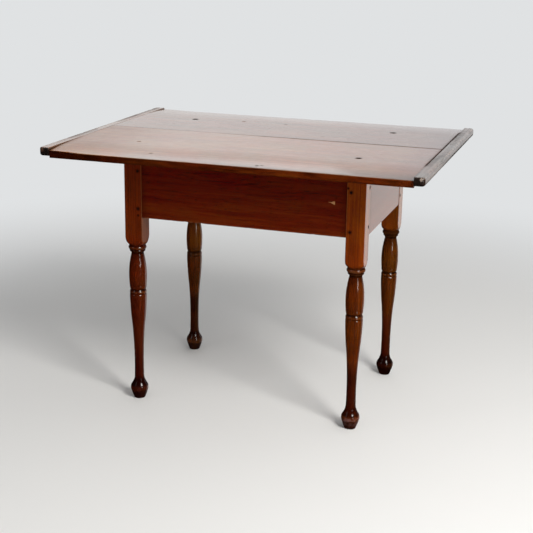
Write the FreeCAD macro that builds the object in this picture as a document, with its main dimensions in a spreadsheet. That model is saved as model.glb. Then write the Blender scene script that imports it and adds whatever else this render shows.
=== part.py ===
import FreeCAD, Part
import math
import operator
import os
import Sketcher

# Tavern table with a two-board top between breadboard ends, on a pegged frame of four aprons and four
# turned legs. Millimetres; X runs along the length, Y from front to back, Z up; the origin is on the
# floor under the middle of the top.

doc = FreeCAD.newDocument("tavern_table")
sheet = doc.addObject("Spreadsheet::Sheet", "sizes")


# ---------------------------------------------------------------------------------------------------
# Sizes. Each row is a name, its value and what it measures.

ROWS = (
    # overall
    ("table_length", 910, "over the two breadboard ends"),
    ("table_width", 690, "front to back, the length of a breadboard end"),
    ("table_height", 660, "floor to the top face"),
    # top
    ("board_thickness", 16, "top boards"),
    ("board_setback", 6, "shrunken boards stop this far inside the breadboard tips"),
    ("front_board_width", 342, "front edge to the seam"),
    ("front_droop", 9, "fall of the cupped front edge"),
    ("back_droop", 6, "fall of the cupped back edge"),
    ("board_edge_round", 2, "worn top arris of the long edges"),
    ("seam_tongue_thickness", 5, "tongue along the seam"),
    ("seam_tongue_reach", 6, "how far the seam tongue stands out"),
    ("seam_chamfer", 0.8, "eased arris on both sides of the seam"),
    ("end_width", 24, "breadboard end, across its grain"),
    ("end_thickness", 20, "breadboard end"),
    ("end_gap", 0.5, "open joint between the boards and a breadboard end"),
    ("end_corner_round", 9, "breadboard tip, seen from above"),
    ("end_top_round", 6, "breadboard outer arris, above"),
    ("end_bottom_round", 4, "breadboard outer arris, below"),
    ("end_tongue_thickness", 6, "tongue on the ends of the boards"),
    ("end_tongue_reach", 10, "how far that tongue stands out"),
    ("end_tongue_stop", 12, "tongue stops this far inside the frame's faces"),
    # frame
    ("frame_length", 600, "over the leg faces"),
    ("frame_depth", 425, "over the leg faces"),
    ("leg_square", 45, "side of the leg's block"),
    ("leg_arris_round", 1.5, "long edges of the block"),
    ("apron_height", 166, "apron, top to bottom edge"),
    ("apron_thickness", 21, "apron board"),
    ("apron_reveal", 0.8, "apron face behind the leg face"),
    ("apron_arris_round", 1, "lower edges of an apron"),
    ("tenon_thickness", 8, "apron tenon"),
    ("tenon_tip_gap", 2.2, "between the tip of a tenon and the tenon that crosses its line"),
    ("tenon_cheek", 7, "apron face to the tenon"),
    ("tenon_top_shoulder", 16, "apron top edge to the tenon"),
    ("tenon_bottom_shoulder", 3, "apron bottom edge to the tenon"),
    # fits
    ("joint_fit", 0.15, "room on each side of a tenon or tongue"),
    ("joint_end_room", 0.6, "room beyond the tip of a tenon or tongue"),
    ("peg_fit", 0.1, "room around a peg"),
    # pegs
    ("joint_peg_width", 7.5, "peg through a tenon"),
    ("joint_peg_tip_gap", 2.5, "between the tip of a peg and the peg that crosses its line"),
    ("joint_peg_stand", 0.4, "head proud of the leg"),
    ("joint_peg_inset", 9.5, "peg to the apron's shoulder"),
    ("peg_upper_drop", 51, "upper peg below the apron's top edge"),
    ("peg_lower_rise", 22, "lower peg above the apron's bottom edge"),
    ("peg_step", 8, "lowered pegs on alternate corners"),
    ("top_peg_width", 10, "peg that holds the top down"),
    ("top_peg_length", 50, "from the top face down"),
    ("top_peg_sink", 0.3, "head below the top face"),
    ("top_peg_inset", 28, "from the two leg faces"),
    ("apron_peg_offset", 139, "peg into the back apron, left of the middle"),
    ("end_peg_width", 6, "peg through a breadboard tongue"),
    ("end_peg_cover", 4, "wood left above the peg"),
    ("end_peg_from_seam", 65, "inner breadboard peg to the seam"),
    ("end_peg_from_stop", 35.5, "outer breadboard peg to the end of the tongue"),
    # turning, from the block down
    ("block_drop", 72, "block below the aprons"),
    ("shoulder_height", 20, "rounded foot of the block, at its corners"),
    ("shoulder_radius", 21.2, "foot of the block, at the turning"),
    ("shoulder_swell", 2, "how full the rounding is"),
    ("scribe_width", 1.4, "line cut between turned members"),
    ("scribe_depth", 0.8, "line cut between turned members"),
    ("collar_height", 2, "fillet under the block"),
    ("collar_radius", 20.6, "fillet under the block"),
    ("bead_height", 9, "upper bead"),
    ("bead_radius", 20.2, "upper bead, at its edges"),
    ("bead_swell", 2, "upper bead"),
    ("ring_height", 4, "ring under the bead"),
    ("ring_radius", 18.8, "ring under the bead, at its edges"),
    ("ring_swell", 0.6, "ring under the bead"),
    ("cove_height", 5.5, "hollow between ring and vase"),
    ("cove_radius", 17.6, "upper end of the hollow"),
    ("cove_hollow", 0.6, "hollow between ring and vase"),
    ("neck_radius", 15.2, "narrowest place, on top of the vase"),
    ("vase_length", 81.5, "vase"),
    ("vase_swell", 3.5, "vase, beyond a straight taper"),
    ("vase_foot_radius", 20.8, "lower end of the vase"),
    ("vase_ring_height", 8, "ring under the vase"),
    ("vase_ring_radius", 19.6, "lower edge of that ring"),
    ("vase_ring_swell", 0.4, "ring under the vase"),
    ("notch_height", 5, "deep notch between the two rings"),
    ("notch_radius", 17.8, "bottom of the notch"),
    ("band_height", 8, "ring under the notch"),
    ("band_radius", 19.4, "ring under the notch, at its edges"),
    ("band_swell", 1, "ring under the notch"),
    ("taper_radius", 20.2, "top of the long taper"),
    ("taper_swell", 0.45, "upper, full part of the taper"),
    ("taper_upper_length", 85, "upper, full part of the taper"),
    ("waist_radius", 14.9, "where the taper turns hollow"),
    ("taper_hollow", 1.7, "lower, hollow part of the taper"),
    ("ankle_height", 62, "ankle above the floor"),
    ("ankle_radius", 12, "ankle"),
    ("flare_hollow", 2, "flare from the ankle to the foot"),
    ("flare_height", 38, "lower end of the flare"),
    ("flare_radius", 19, "lower end of the flare"),
    ("foot_upper_swell", 0.8, "foot above its widest place"),
    ("foot_widest", 28, "upper edge of the foot's widest band"),
    ("foot_band_height", 2.5, "the foot's widest band"),
    ("foot_radius", 22.4, "the foot's widest band"),
    ("foot_lower_swell", 0.6, "foot below its widest place"),
    ("foot_base_height", 3, "eased edge under the foot"),
    ("foot_base_radius", 14.2, "lower end of the foot"),
    ("foot_pad_radius", 13, "flat under the foot"),
)

for number, (alias, value, note) in enumerate(ROWS, start=1):
    sheet.set("A%d" % number, alias)
    sheet.set("B%d" % number, str(value))
    sheet.setAlias("B%d" % number, alias)
    sheet.set("C%d" % number, note)
doc.recompute()


class Size:
    """A length that knows its number now and the sheet expression that keeps it up to date."""

    def __init__(self, number, text):
        self.number = number
        self.text = text

    def __add__(self, other):
        return combined(self, "+", other)

    def __sub__(self, other):
        return combined(self, "-", other)

    def __mul__(self, other):
        return combined(self, "*", other)

    def __truediv__(self, other):
        return combined(self, "/", other)

    def __neg__(self):
        return combined(-1.0, "*", self)


WORKINGS = {"+": operator.add, "-": operator.sub, "*": operator.mul, "/": operator.truediv}


def as_size(value):
    if isinstance(value, Size):
        return value
    return Size(float(value), "(%r)" % float(value))


def combined(left, sign, right):
    left = as_size(left)
    right = as_size(right)
    number = WORKINGS[sign](left.number, right.number)
    return Size(number, "(%s %s %s)" % (left.text, sign, right.text))


class Sheet:
    """Every row of the sheet as a Size, under its own name."""


size = Sheet()
for alias, value, note in ROWS:
    setattr(size, alias, Size(float(sheet.get(alias)), "sizes." + alias))


# ---------------------------------------------------------------------------------------------------
# Ways of drawing and cutting, with every size bound to the sheet.

START, END, CENTRE = 1, 2, 3
ORIGIN = -1
CLEARANCE = 2


def new_body(label):
    body = doc.addObject("PartDesign::Body", label)
    body.Label = label
    return body


def place(thing, x, y, z=0, turn=0):
    """Turns a thing about Z by turn degrees and moves it to x, y, z."""
    spot = [as_size(value) for value in (x, y, z)]
    base = FreeCAD.Vector(*[value.number for value in spot])
    thing.Placement = FreeCAD.Placement(base, FreeCAD.Rotation(FreeCAD.Vector(0, 0, 1), turn))
    for axis, value in zip("xyz", spot):
        thing.setExpression("Placement.Base." + axis, value.text)


def sketch_on(body, plane, offset=0):
    """An empty sketch on one of the body's origin planes, moved by offset along the plane's normal."""
    sketch = body.newObject("Sketcher::SketchObject", body.Label + "_sketch")
    support = [item for item in body.Origin.OriginFeatures if item.Role == plane][0]
    sketch.AttachmentSupport = (support, [""])
    sketch.MapMode = "FlatFace"
    offset = as_size(offset)
    sketch.AttachmentOffset = FreeCAD.Placement(FreeCAD.Vector(0, 0, offset.number), FreeCAD.Rotation())
    sketch.setExpression("AttachmentOffset.Base.z", offset.text)
    return sketch


def bind(sketch, kind, *targets):
    """Adds a constraint whose last target is a Size, and ties it to the sheet."""
    value = as_size(targets[-1])
    index = sketch.addConstraint(Sketcher.Constraint(kind, *targets[:-1], value.number))
    sketch.setExpression("Constraints[%d]" % index, value.text)


def pin(sketch, geometry, point, x, y):
    """Holds one point of the sketch at x, y from its origin."""
    bind(sketch, "DistanceX", ORIGIN, 1, geometry, point, x)
    bind(sketch, "DistanceY", ORIGIN, 1, geometry, point, y)


def vector(corner):
    return FreeCAD.Vector(as_size(corner[0]).number, as_size(corner[1]).number, 0)


def arc_radius(start, end, swell):
    """Radius of the arc from start to end that stands off its chord by swell."""
    across = as_size(end[0]) - start[0]
    along = as_size(end[1]) - start[1]
    chord_squared = across * across + along * along
    return chord_squared / (as_size(swell) * 8) + as_size(swell) / 2


def outline(sketch, corners):
    """Joins corners into a closed loop. A corner is (x, y) before a straight edge, or (x, y, side, swell)
    before an arc that stands off its chord by swell, to the right of the way round for side 1, to the
    left for side -1."""
    edges = []
    for start, end in zip(corners, corners[1:] + corners[:1]):
        begin = vector(start)
        finish = vector(end)
        if len(start) == 2:
            index = sketch.addGeometry(Part.LineSegment(begin, finish))
            edges.append((index, START, END))
            continue
        side, swell = start[2:]
        way = (finish - begin).normalize()
        middle = (begin + finish) / 2 + FreeCAD.Vector(way.y, -way.x, 0) * side * as_size(swell).number
        index = sketch.addGeometry(Part.Arc(begin, middle, finish))
        straight_on = sketch.getPoint(index, START).isEqual(begin, 1e-6)
        edges.append((index, START, END) if straight_on else (index, END, START))
    for (index, first, last), (following, next_first, next_last) in zip(edges, edges[1:] + edges[:1]):
        sketch.addConstraint(Sketcher.Constraint("Coincident", index, last, following, next_first))
    for (index, first, last), corner in zip(edges, corners):
        pin(sketch, index, first, corner[0], corner[1])
    for (index, first, last), start, end in zip(edges, corners, corners[1:] + corners[:1]):
        if len(start) > 2:
            bind(sketch, "Radius", index, arc_radius(start, end, start[3]))


def rectangle(sketch, left, bottom, right, top):
    outline(sketch, [(left, bottom), (right, bottom), (right, top), (left, top)])


def circle(sketch, x, y, diameter):
    centre = vector((x, y))
    index = sketch.addGeometry(Part.Circle(centre, FreeCAD.Vector(0, 0, 1), as_size(diameter).number / 2))
    pin(sketch, index, CENTRE, x, y)
    bind(sketch, "Diameter", index, diameter)


def pad(body, sketch, length, both_ways=False, backwards=False):
    feature = body.newObject("PartDesign::Pad", body.Label + "_pad")
    feature.Profile = sketch
    feature.setExpression("Length", as_size(length).text)
    feature.SideType = "Symmetric" if both_ways else "One side"
    feature.Reversed = backwards
    doc.recompute()
    return feature


def require_cut(body, feature, before):
    doc.recompute()
    if feature.Shape.Volume > before - 1:
        raise RuntimeError("%s takes nothing away from %s" % (feature.Name, body.Label))


def pocket(body, sketch, length, backwards=False):
    """Cuts against the sketch's normal, or along it when backwards."""
    before = body.Shape.Volume
    feature = body.newObject("PartDesign::Pocket", body.Label + "_pocket")
    feature.Profile = sketch
    feature.setExpression("Length", as_size(length).text)
    feature.Reversed = backwards
    require_cut(body, feature, before)
    return feature


def revolve(body, sketch, kind):
    """Turns a sketch on the XZ plane once round the body's Z axis, as a Revolution or a Groove."""
    before = body.Shape.Volume if body.Tip else 0
    feature = body.newObject("PartDesign::" + kind, body.Label + "_turning")
    feature.Profile = sketch
    feature.ReferenceAxis = (sketch, ["V_Axis"])
    feature.Angle = 360
    if kind == "Groove":
        require_cut(body, feature, before)
    doc.recompute()
    return feature


def round_edges(body, radius, wanted):
    """Rounds those edges of the body's last feature for which wanted(edge) is true."""
    base = body.Tip
    names = ["Edge%d" % n for n, edge in enumerate(base.Shape.Edges, start=1) if wanted(edge)]
    if not names:
        raise RuntimeError("no edge to round on " + body.Label)
    feature = body.newObject("PartDesign::Fillet", body.Label + "_fillet")
    feature.Base = (base, names)
    feature.setExpression("Radius", radius.text)
    doc.recompute()
    return feature


def runs_along(edge, axis):
    """True for a straight edge parallel to the given axis."""
    if not isinstance(edge.Curve, Part.Line):
        return False
    return abs(getattr(edge.Curve.Direction, axis)) > 0.999


def near(number, value):
    return abs(number - as_size(value).number) < 0.01


# ---------------------------------------------------------------------------------------------------
# Heights and places that several pieces share.

board_bottom = size.table_height - size.board_thickness
apron_bottom = board_bottom - size.apron_height
tenon_bottom = apron_bottom + size.tenon_bottom_shoulder
tenon_top = board_bottom - size.tenon_top_shoulder
half_leg = size.leg_square / 2
leg_x = size.frame_length / 2 - half_leg
leg_y = size.frame_depth / 2 - half_leg
top_peg_x = size.frame_length / 2 - size.top_peg_inset
top_peg_y = size.frame_depth / 2 - size.top_peg_inset
apron_middle = size.frame_depth / 2 - size.apron_reveal - size.apron_thickness / 2
tenon_inner_face = size.apron_reveal + size.tenon_cheek + size.tenon_thickness
tenon_length = size.leg_square - tenon_inner_face - size.tenon_tip_gap
peg_heights = (apron_bottom + size.peg_lower_rise, board_bottom - size.peg_upper_drop)
lowered_peg_heights = tuple(height - size.peg_step for height in peg_heights)
joint_peg_hole = size.joint_peg_width + size.peg_fit * 2
top_peg_hole = size.top_peg_width + size.peg_fit * 2
end_peg_hole = size.end_peg_width + size.peg_fit * 2
joint_peg_length = size.leg_square - size.joint_peg_inset - joint_peg_hole / 2 - size.joint_peg_tip_gap


# ---------------------------------------------------------------------------------------------------
# Legs. Each is drawn with its outer faces towards -X and -Y, like the front left leg, and turned into
# its corner. The apron that meets its -Y face comes in from +X, the other one from +Y.

def turning_profile():
    """Half outline of the turned part, from the floor at the axis up to the block, with its members
    named from the block down."""
    block_bottom = apron_bottom - size.block_drop
    bead_top = block_bottom - size.collar_height - size.scribe_width
    bead_bottom = bead_top - size.bead_height
    ring_top = bead_bottom - size.scribe_width
    ring_bottom = ring_top - size.ring_height
    vase_top = ring_bottom - size.cove_height
    vase_bottom = vase_top - size.vase_length
    vase_ring_top = vase_bottom - size.scribe_width
    notch_top = vase_ring_top - size.vase_ring_height
    band_top = notch_top - size.notch_height
    band_bottom = band_top - size.band_height
    taper_top = band_bottom - size.scribe_width
    waist = taper_top - size.taper_upper_length

    def scribe(radius, top):
        return (radius - size.scribe_depth, top - size.scribe_width / 2)

    return [
        (0, 0),
        (size.foot_pad_radius, 0),
        (size.foot_base_radius, size.foot_base_height, 1, size.foot_lower_swell),
        (size.foot_radius, size.foot_widest - size.foot_band_height),
        (size.foot_radius, size.foot_widest, 1, size.foot_upper_swell),
        (size.flare_radius, size.flare_height, -1, size.flare_hollow),
        (size.ankle_radius, size.ankle_height, -1, size.taper_hollow),
        (size.waist_radius, waist, 1, size.taper_swell),
        (size.taper_radius, taper_top),
        scribe(size.band_radius, band_bottom),
        (size.band_radius, band_bottom, 1, size.band_swell),
        (size.band_radius, band_top),
        (size.notch_radius, notch_top - size.notch_height / 2),
        (size.vase_ring_radius, notch_top, 1, size.vase_ring_swell),
        (size.vase_foot_radius, vase_ring_top),
        scribe(size.vase_foot_radius, vase_bottom),
        (size.vase_foot_radius, vase_bottom, 1, size.vase_swell),
        (size.neck_radius, vase_top, -1, size.cove_hollow),
        (size.cove_radius, ring_bottom),
        (size.ring_radius, ring_bottom, 1, size.ring_swell),
        (size.ring_radius, ring_top),
        scribe(size.ring_radius, bead_bottom),
        (size.bead_radius, bead_bottom, 1, size.bead_swell),
        (size.bead_radius, bead_top),
        scribe(size.bead_radius, bead_top + size.scribe_width),
        (size.collar_radius, bead_top + size.scribe_width),
        (size.collar_radius, block_bottom),
        (0, block_bottom),
    ]


def build_leg(label, x, y, turn, heights_front, heights_side):
    body = new_body(label)
    block_bottom = apron_bottom - size.block_drop

    square = sketch_on(body, "XY_Plane", block_bottom)
    rectangle(square, -half_leg, -half_leg, half_leg, half_leg)
    pad(body, square, board_bottom - block_bottom)
    round_edges(body, size.leg_arris_round, lambda edge: runs_along(edge, "z"))

    corner = size.leg_square * math.sqrt(0.5)
    beyond_corner = corner + CLEARANCE
    below_block = block_bottom - CLEARANCE
    shoulder_top = block_bottom + size.shoulder_height
    shoulder = sketch_on(body, "XZ_Plane")
    outline(shoulder, [
        (size.shoulder_radius, below_block),
        (beyond_corner, below_block),
        (beyond_corner, shoulder_top),
        (corner, shoulder_top, -1, size.shoulder_swell),
        (size.shoulder_radius, block_bottom),
    ])
    revolve(body, shoulder, "Groove")

    turning = sketch_on(body, "XZ_Plane")
    outline(turning, turning_profile())
    revolve(body, turning, "Revolution")

    near_side = -half_leg + size.apron_reveal + size.tenon_cheek - size.joint_fit
    far_side = near_side + size.tenon_thickness + size.joint_fit * 2
    mortise_depth = tenon_length + size.joint_end_room
    mortise = sketch_on(body, "YZ_Plane", half_leg)
    rectangle(mortise, near_side, tenon_bottom - size.joint_fit, far_side, tenon_top + size.joint_fit)
    pocket(body, mortise, mortise_depth)
    mortise = sketch_on(body, "XZ_Plane", -half_leg)
    rectangle(mortise, near_side, tenon_bottom - size.joint_fit, far_side, tenon_top + size.joint_fit)
    pocket(body, mortise, mortise_depth, backwards=True)

    peg_place = half_leg - size.joint_peg_inset
    bores = sketch_on(body, "XZ_Plane", half_leg)
    for height in heights_front:
        circle(bores, peg_place, height, joint_peg_hole)
    pocket(body, bores, joint_peg_length)
    bores = sketch_on(body, "YZ_Plane", -half_leg)
    for height in heights_side:
        circle(bores, peg_place, height, joint_peg_hole)
    pocket(body, bores, joint_peg_length, backwards=True)

    bore = sketch_on(body, "XY_Plane", board_bottom)
    circle(bore, size.top_peg_inset - half_leg, size.top_peg_inset - half_leg, top_peg_hole)
    pocket(body, bore, size.top_peg_length - size.board_thickness)

    place(body, x, y, turn=turn)
    return body


legs = [
    build_leg("leg_front_left", -leg_x, -leg_y, 0, peg_heights, peg_heights),
    build_leg("leg_front_right", leg_x, -leg_y, 90, peg_heights, lowered_peg_heights),
    build_leg("leg_back_right", leg_x, leg_y, 180, peg_heights, peg_heights),
    build_leg("leg_back_left", -leg_x, leg_y, 270, peg_heights, lowered_peg_heights),
]


# ---------------------------------------------------------------------------------------------------
# Aprons. Each is drawn as the front one: its outer face at y = 0, its length along X, with a long
# tenon at each end that two pegs cross.

def build_apron(label, span, x, y, turn, left_heights, right_heights, top_peg_at=None):
    body = new_body(label)
    half_span = span / 2
    plank = sketch_on(body, "YZ_Plane")
    rectangle(plank, 0, apron_bottom, size.apron_thickness, board_bottom)
    pad(body, plank, span, both_ways=True)
    round_edges(body, size.apron_arris_round,
                lambda edge: runs_along(edge, "x") and near(edge.CenterOfMass.z, apron_bottom))

    tenon = sketch_on(body, "YZ_Plane")
    rectangle(tenon, size.tenon_cheek, tenon_bottom, size.tenon_cheek + size.tenon_thickness, tenon_top)
    pad(body, tenon, span + tenon_length * 2, both_ways=True)

    peg_reach = half_span + size.joint_peg_inset
    bores = sketch_on(body, "XZ_Plane")
    for side, heights in ((-1, left_heights), (1, right_heights)):
        for height in heights:
            circle(bores, peg_reach * side, height, joint_peg_hole)
    pocket(body, bores, size.apron_thickness)

    if top_peg_at is not None:
        bore = sketch_on(body, "XY_Plane", board_bottom)
        circle(bore, top_peg_at, size.apron_thickness / 2, top_peg_hole)
        pocket(body, bore, size.top_peg_length - size.board_thickness)

    place(body, x, y, turn=turn)
    return body


long_span = size.frame_length - size.leg_square * 2
short_span = size.frame_depth - size.leg_square * 2
face_x = size.frame_length / 2 - size.apron_reveal
face_y = size.frame_depth / 2 - size.apron_reveal

aprons = [
    build_apron("apron_front", long_span, 0, -face_y, 0, peg_heights, lowered_peg_heights),
    build_apron("apron_right", short_span, face_x, 0, 90, peg_heights, peg_heights),
    build_apron("apron_back", long_span, 0, face_y, 180, peg_heights, lowered_peg_heights,
                top_peg_at=size.apron_peg_offset),
    build_apron("apron_left", short_span, -face_x, 0, 270, peg_heights, peg_heights),
]


# ---------------------------------------------------------------------------------------------------
# Top boards. They lie flat over the frame, and their free edges have cupped down beyond it. A tongue
# on the front board enters a groove in the back board, and both have a tongue on each end.

board_reach = size.table_width / 2 - size.board_setback
board_half_length = size.table_length / 2 - size.end_width - size.end_gap
seam = size.front_board_width - board_reach
flat_half = size.frame_depth / 2
board_middle = size.table_height - size.board_thickness / 2
end_tongue_half = flat_half - size.end_tongue_stop
end_peg_outer = end_tongue_half - size.end_peg_from_stop
front_end_pegs = (-end_peg_outer, seam - size.end_peg_from_seam)
back_end_pegs = (seam + size.end_peg_from_seam, end_peg_outer)


def droop_swell(run, fall):
    """Swell of the arc over run and fall that is level at its inner end."""
    radius = (run * run + fall * fall) / (fall * 2)
    half_chord = math.hypot(run.number, fall.number) / 2
    number = radius.number - math.sqrt(radius.number ** 2 - half_chord ** 2)
    text = "(%s - sqrt(pow(%s; 2) - (pow(%s; 2) + pow(%s; 2)) / 4))"
    return Size(number, text % (radius.text, radius.text, run.text, fall.text))


def end_tongues(body, inner, outer):
    """The stopped tongues on both ends of a board, between two places across the table."""
    tongue = sketch_on(body, "YZ_Plane")
    half_tongue = size.end_tongue_thickness / 2
    rectangle(tongue, inner, board_middle - half_tongue, outer, board_middle + half_tongue)
    pad(body, tongue, (board_half_length + size.end_tongue_reach) * 2, both_ways=True)


def bore_board(body, pegs):
    """Holes right through a board for the pegs that hold it to the frame."""
    bores = sketch_on(body, "XY_Plane", size.table_height)
    for x, y in pegs:
        circle(bores, x, y, top_peg_hole)
    pocket(body, bores, size.board_thickness)


def bore_end_tongues(body, places):
    """Holes through the end tongues for the breadboard pegs."""
    bores = sketch_on(body, "XY_Plane", board_middle + size.end_tongue_thickness / 2)
    for side in (-1, 1):
        for y in places:
            circle(bores, (board_half_length + size.end_tongue_reach / 2) * side, y, end_peg_hole)
    pocket(body, bores, size.end_tongue_thickness)


def build_front_board():
    body = new_body("top_board_front")
    edge = -board_reach
    droop = droop_swell(board_reach - flat_half, size.front_droop)
    tongue_low = board_middle - size.seam_tongue_thickness / 2
    tongue_high = board_middle + size.seam_tongue_thickness / 2
    tongue_tip = seam + size.seam_tongue_reach
    section = sketch_on(body, "YZ_Plane")
    outline(section, [
        (edge, board_bottom - size.front_droop, -1, droop),
        (-flat_half, board_bottom),
        (seam, board_bottom),
        (seam, tongue_low),
        (tongue_tip, tongue_low),
        (tongue_tip, tongue_high),
        (seam, tongue_high),
        (seam, size.table_height - size.seam_chamfer),
        (seam - size.seam_chamfer, size.table_height),
        (-flat_half, size.table_height, 1, droop),
        (edge, size.table_height - size.front_droop),
    ])
    pad(body, section, board_half_length * 2, both_ways=True)
    round_edges(body, size.board_edge_round,
                lambda edge_: runs_along(edge_, "x") and near(edge_.CenterOfMass.y, edge)
                and near(edge_.CenterOfMass.z, size.table_height - size.front_droop))
    end_tongues(body, -end_tongue_half, seam)
    bore_board(body, [(-top_peg_x, -top_peg_y), (top_peg_x, -top_peg_y)])
    bore_end_tongues(body, front_end_pegs)
    return body


def build_back_board():
    body = new_body("top_board_back")
    edge = board_reach
    droop = droop_swell(board_reach - flat_half, size.back_droop)
    groove_low = board_middle - size.seam_tongue_thickness / 2 - size.joint_fit
    groove_high = board_middle + size.seam_tongue_thickness / 2 + size.joint_fit
    groove_end = seam + size.seam_tongue_reach + size.joint_end_room
    section = sketch_on(body, "YZ_Plane")
    outline(section, [
        (seam, board_bottom),
        (flat_half, board_bottom, -1, droop),
        (edge, board_bottom - size.back_droop),
        (edge, size.table_height - size.back_droop, 1, droop),
        (flat_half, size.table_height),
        (seam + size.seam_chamfer, size.table_height),
        (seam, size.table_height - size.seam_chamfer),
        (seam, groove_high),
        (groove_end, groove_high),
        (groove_end, groove_low),
        (seam, groove_low),
    ])
    pad(body, section, board_half_length * 2, both_ways=True)
    round_edges(body, size.board_edge_round,
                lambda edge_: runs_along(edge_, "x") and near(edge_.CenterOfMass.y, edge)
                and near(edge_.CenterOfMass.z, size.table_height - size.back_droop))
    end_tongues(body, groove_end, end_tongue_half)
    apron_peg = (-size.apron_peg_offset, apron_middle)
    bore_board(body, [(-top_peg_x, top_peg_y), (top_peg_x, top_peg_y), apron_peg])
    bore_end_tongues(body, back_end_pegs)
    return body


boards = [build_front_board(), build_back_board()]


# ---------------------------------------------------------------------------------------------------
# Breadboard ends. Each is drawn as the right one, with its inner face at x = 0, and holds the boards'
# tongues in a groove that stops short of both tips.

def build_breadboard(label, side, turn):
    body = new_body(label)
    half_width = size.table_width / 2
    bottom = size.table_height - size.end_thickness
    plan = sketch_on(body, "XY_Plane", bottom)
    rectangle(plan, 0, -half_width, size.end_width, half_width)
    pad(body, plan, size.end_thickness)
    round_edges(body, size.end_corner_round,
                lambda edge: runs_along(edge, "z") and near(edge.CenterOfMass.x, size.end_width))

    def outer_arris(level):
        return lambda edge: near(edge.CenterOfMass.z, level) and edge.CenterOfMass.x > 1

    round_edges(body, size.end_top_round, outer_arris(size.table_height))
    round_edges(body, size.end_bottom_round, outer_arris(bottom))

    half_groove = size.end_tongue_thickness / 2 + size.joint_fit
    groove_reach = end_tongue_half + size.joint_end_room
    groove = sketch_on(body, "YZ_Plane")
    rectangle(groove, -groove_reach, board_middle - half_groove, groove_reach, board_middle + half_groove)
    pocket(body, groove, size.end_tongue_reach - size.end_gap + size.joint_end_room, backwards=True)

    bores = sketch_on(body, "XY_Plane", bottom)
    for y in front_end_pegs + back_end_pegs:
        circle(bores, size.end_tongue_reach / 2 - size.end_gap, y * side, end_peg_hole)
    pocket(body, bores, size.end_thickness - size.end_peg_cover, backwards=True)

    place(body, (size.table_length / 2 - size.end_width) * side, 0, turn=turn)
    return body


breadboards = [build_breadboard("breadboard_left", -1, 180), build_breadboard("breadboard_right", 1, 0)]


# ---------------------------------------------------------------------------------------------------
# Pegs, whittled to eight sides. Pegs of one joint are one node.

def build_pegs(label, width, length, places, direction):
    """One eight-sided peg at each place, from there along direction."""
    pegs = []
    for x, y, z in places:
        peg = doc.addObject("Part::Prism", label + "_peg")
        peg.Polygon = 8
        peg.setExpression("Circumradius", (width / 2).text)
        peg.setExpression("Height", length.text)
        spot = [as_size(value) for value in (x, y, z)]
        base = FreeCAD.Vector(*[value.number for value in spot])
        aim = FreeCAD.Rotation(FreeCAD.Vector(0, 0, 1), FreeCAD.Vector(*direction))
        peg.Placement = FreeCAD.Placement(base, aim)
        for axis, value in zip("xyz", spot):
            peg.setExpression("Placement.Base." + axis, value.text)
        pegs.append(peg)
    if len(pegs) == 1:
        pegs[0].Label = label
        return pegs[0]
    group = doc.addObject("Part::Compound", label)
    group.Label = label
    group.Links = pegs
    return group


pegs = []
head_x = size.frame_length / 2 + size.joint_peg_stand
head_y = size.frame_depth / 2 + size.joint_peg_stand
joint_peg_x = long_span / 2 + size.joint_peg_inset
joint_peg_y = short_span / 2 + size.joint_peg_inset
joint_peg_run = joint_peg_length + size.joint_peg_stand - size.joint_end_room

for end, way in (("front", -1), ("back", 1)):
    for side, across in (("left", -1), ("right", 1)):
        heights = lowered_peg_heights if way * across < 0 else peg_heights
        places = [(joint_peg_x * across, head_y * way, height) for height in heights]
        label = "pegs_apron_%s_%s" % (end, side)
        pegs.append(build_pegs(label, size.joint_peg_width, joint_peg_run, places, (0, -way, 0)))

for side, across in (("left", -1), ("right", 1)):
    for end, way in (("front", -1), ("back", 1)):
        places = [(head_x * across, joint_peg_y * way, height) for height in peg_heights]
        label = "pegs_apron_%s_%s" % (side, end)
        pegs.append(build_pegs(label, size.joint_peg_width, joint_peg_run, places, (-across, 0, 0)))

top_peg_head = size.table_height - size.top_peg_sink
top_peg_run = size.top_peg_length - size.top_peg_sink - size.joint_end_room
for end, way in (("front", -1), ("back", 1)):
    for side, across in (("left", -1), ("right", 1)):
        places = [(top_peg_x * across, top_peg_y * way, top_peg_head)]
        label = "top_peg_%s_%s" % (end, side)
        pegs.append(build_pegs(label, size.top_peg_width, top_peg_run, places, (0, 0, -1)))
places = [(-size.apron_peg_offset, apron_middle, top_peg_head)]
pegs.append(build_pegs("top_peg_back_apron", size.top_peg_width, top_peg_run, places, (0, 0, -1)))

end_peg_x = size.table_length / 2 - size.end_width - size.end_gap + size.end_tongue_reach / 2
end_peg_run = size.end_thickness - size.end_peg_cover - size.joint_end_room
for side, across in (("left", -1), ("right", 1)):
    places = []
    for y in front_end_pegs + back_end_pegs:
        places.append((end_peg_x * across, y, size.table_height - size.end_thickness))
    pegs.append(build_pegs("breadboard_pegs_" + side, size.end_peg_width, end_peg_run, places, (0, 0, 1)))


# ---------------------------------------------------------------------------------------------------
# Every object and shape is checked before any file is written.

doc.recompute()
for thing in doc.Objects:
    if "Invalid" in thing.State or "Error" in thing.State:
        raise RuntimeError("%s failed: %s" % (thing.Name, thing.State))
pieces = legs + aprons + boards + breadboards + pegs
for piece in pieces:
    if piece.Shape.isNull() or not piece.Shape.isValid():
        raise RuntimeError("bad shape: " + piece.Label)

os.makedirs("parts", exist_ok=True)
for piece in pieces:
    piece.Shape.exportStep("parts/%s.step" % piece.Label)
    print(piece.Label, len(piece.Shape.Solids), "solids, volume", round(piece.Shape.Volume))
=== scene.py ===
import math

import bmesh
import bpy
from mathutils import Matrix, Vector, noise


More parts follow.
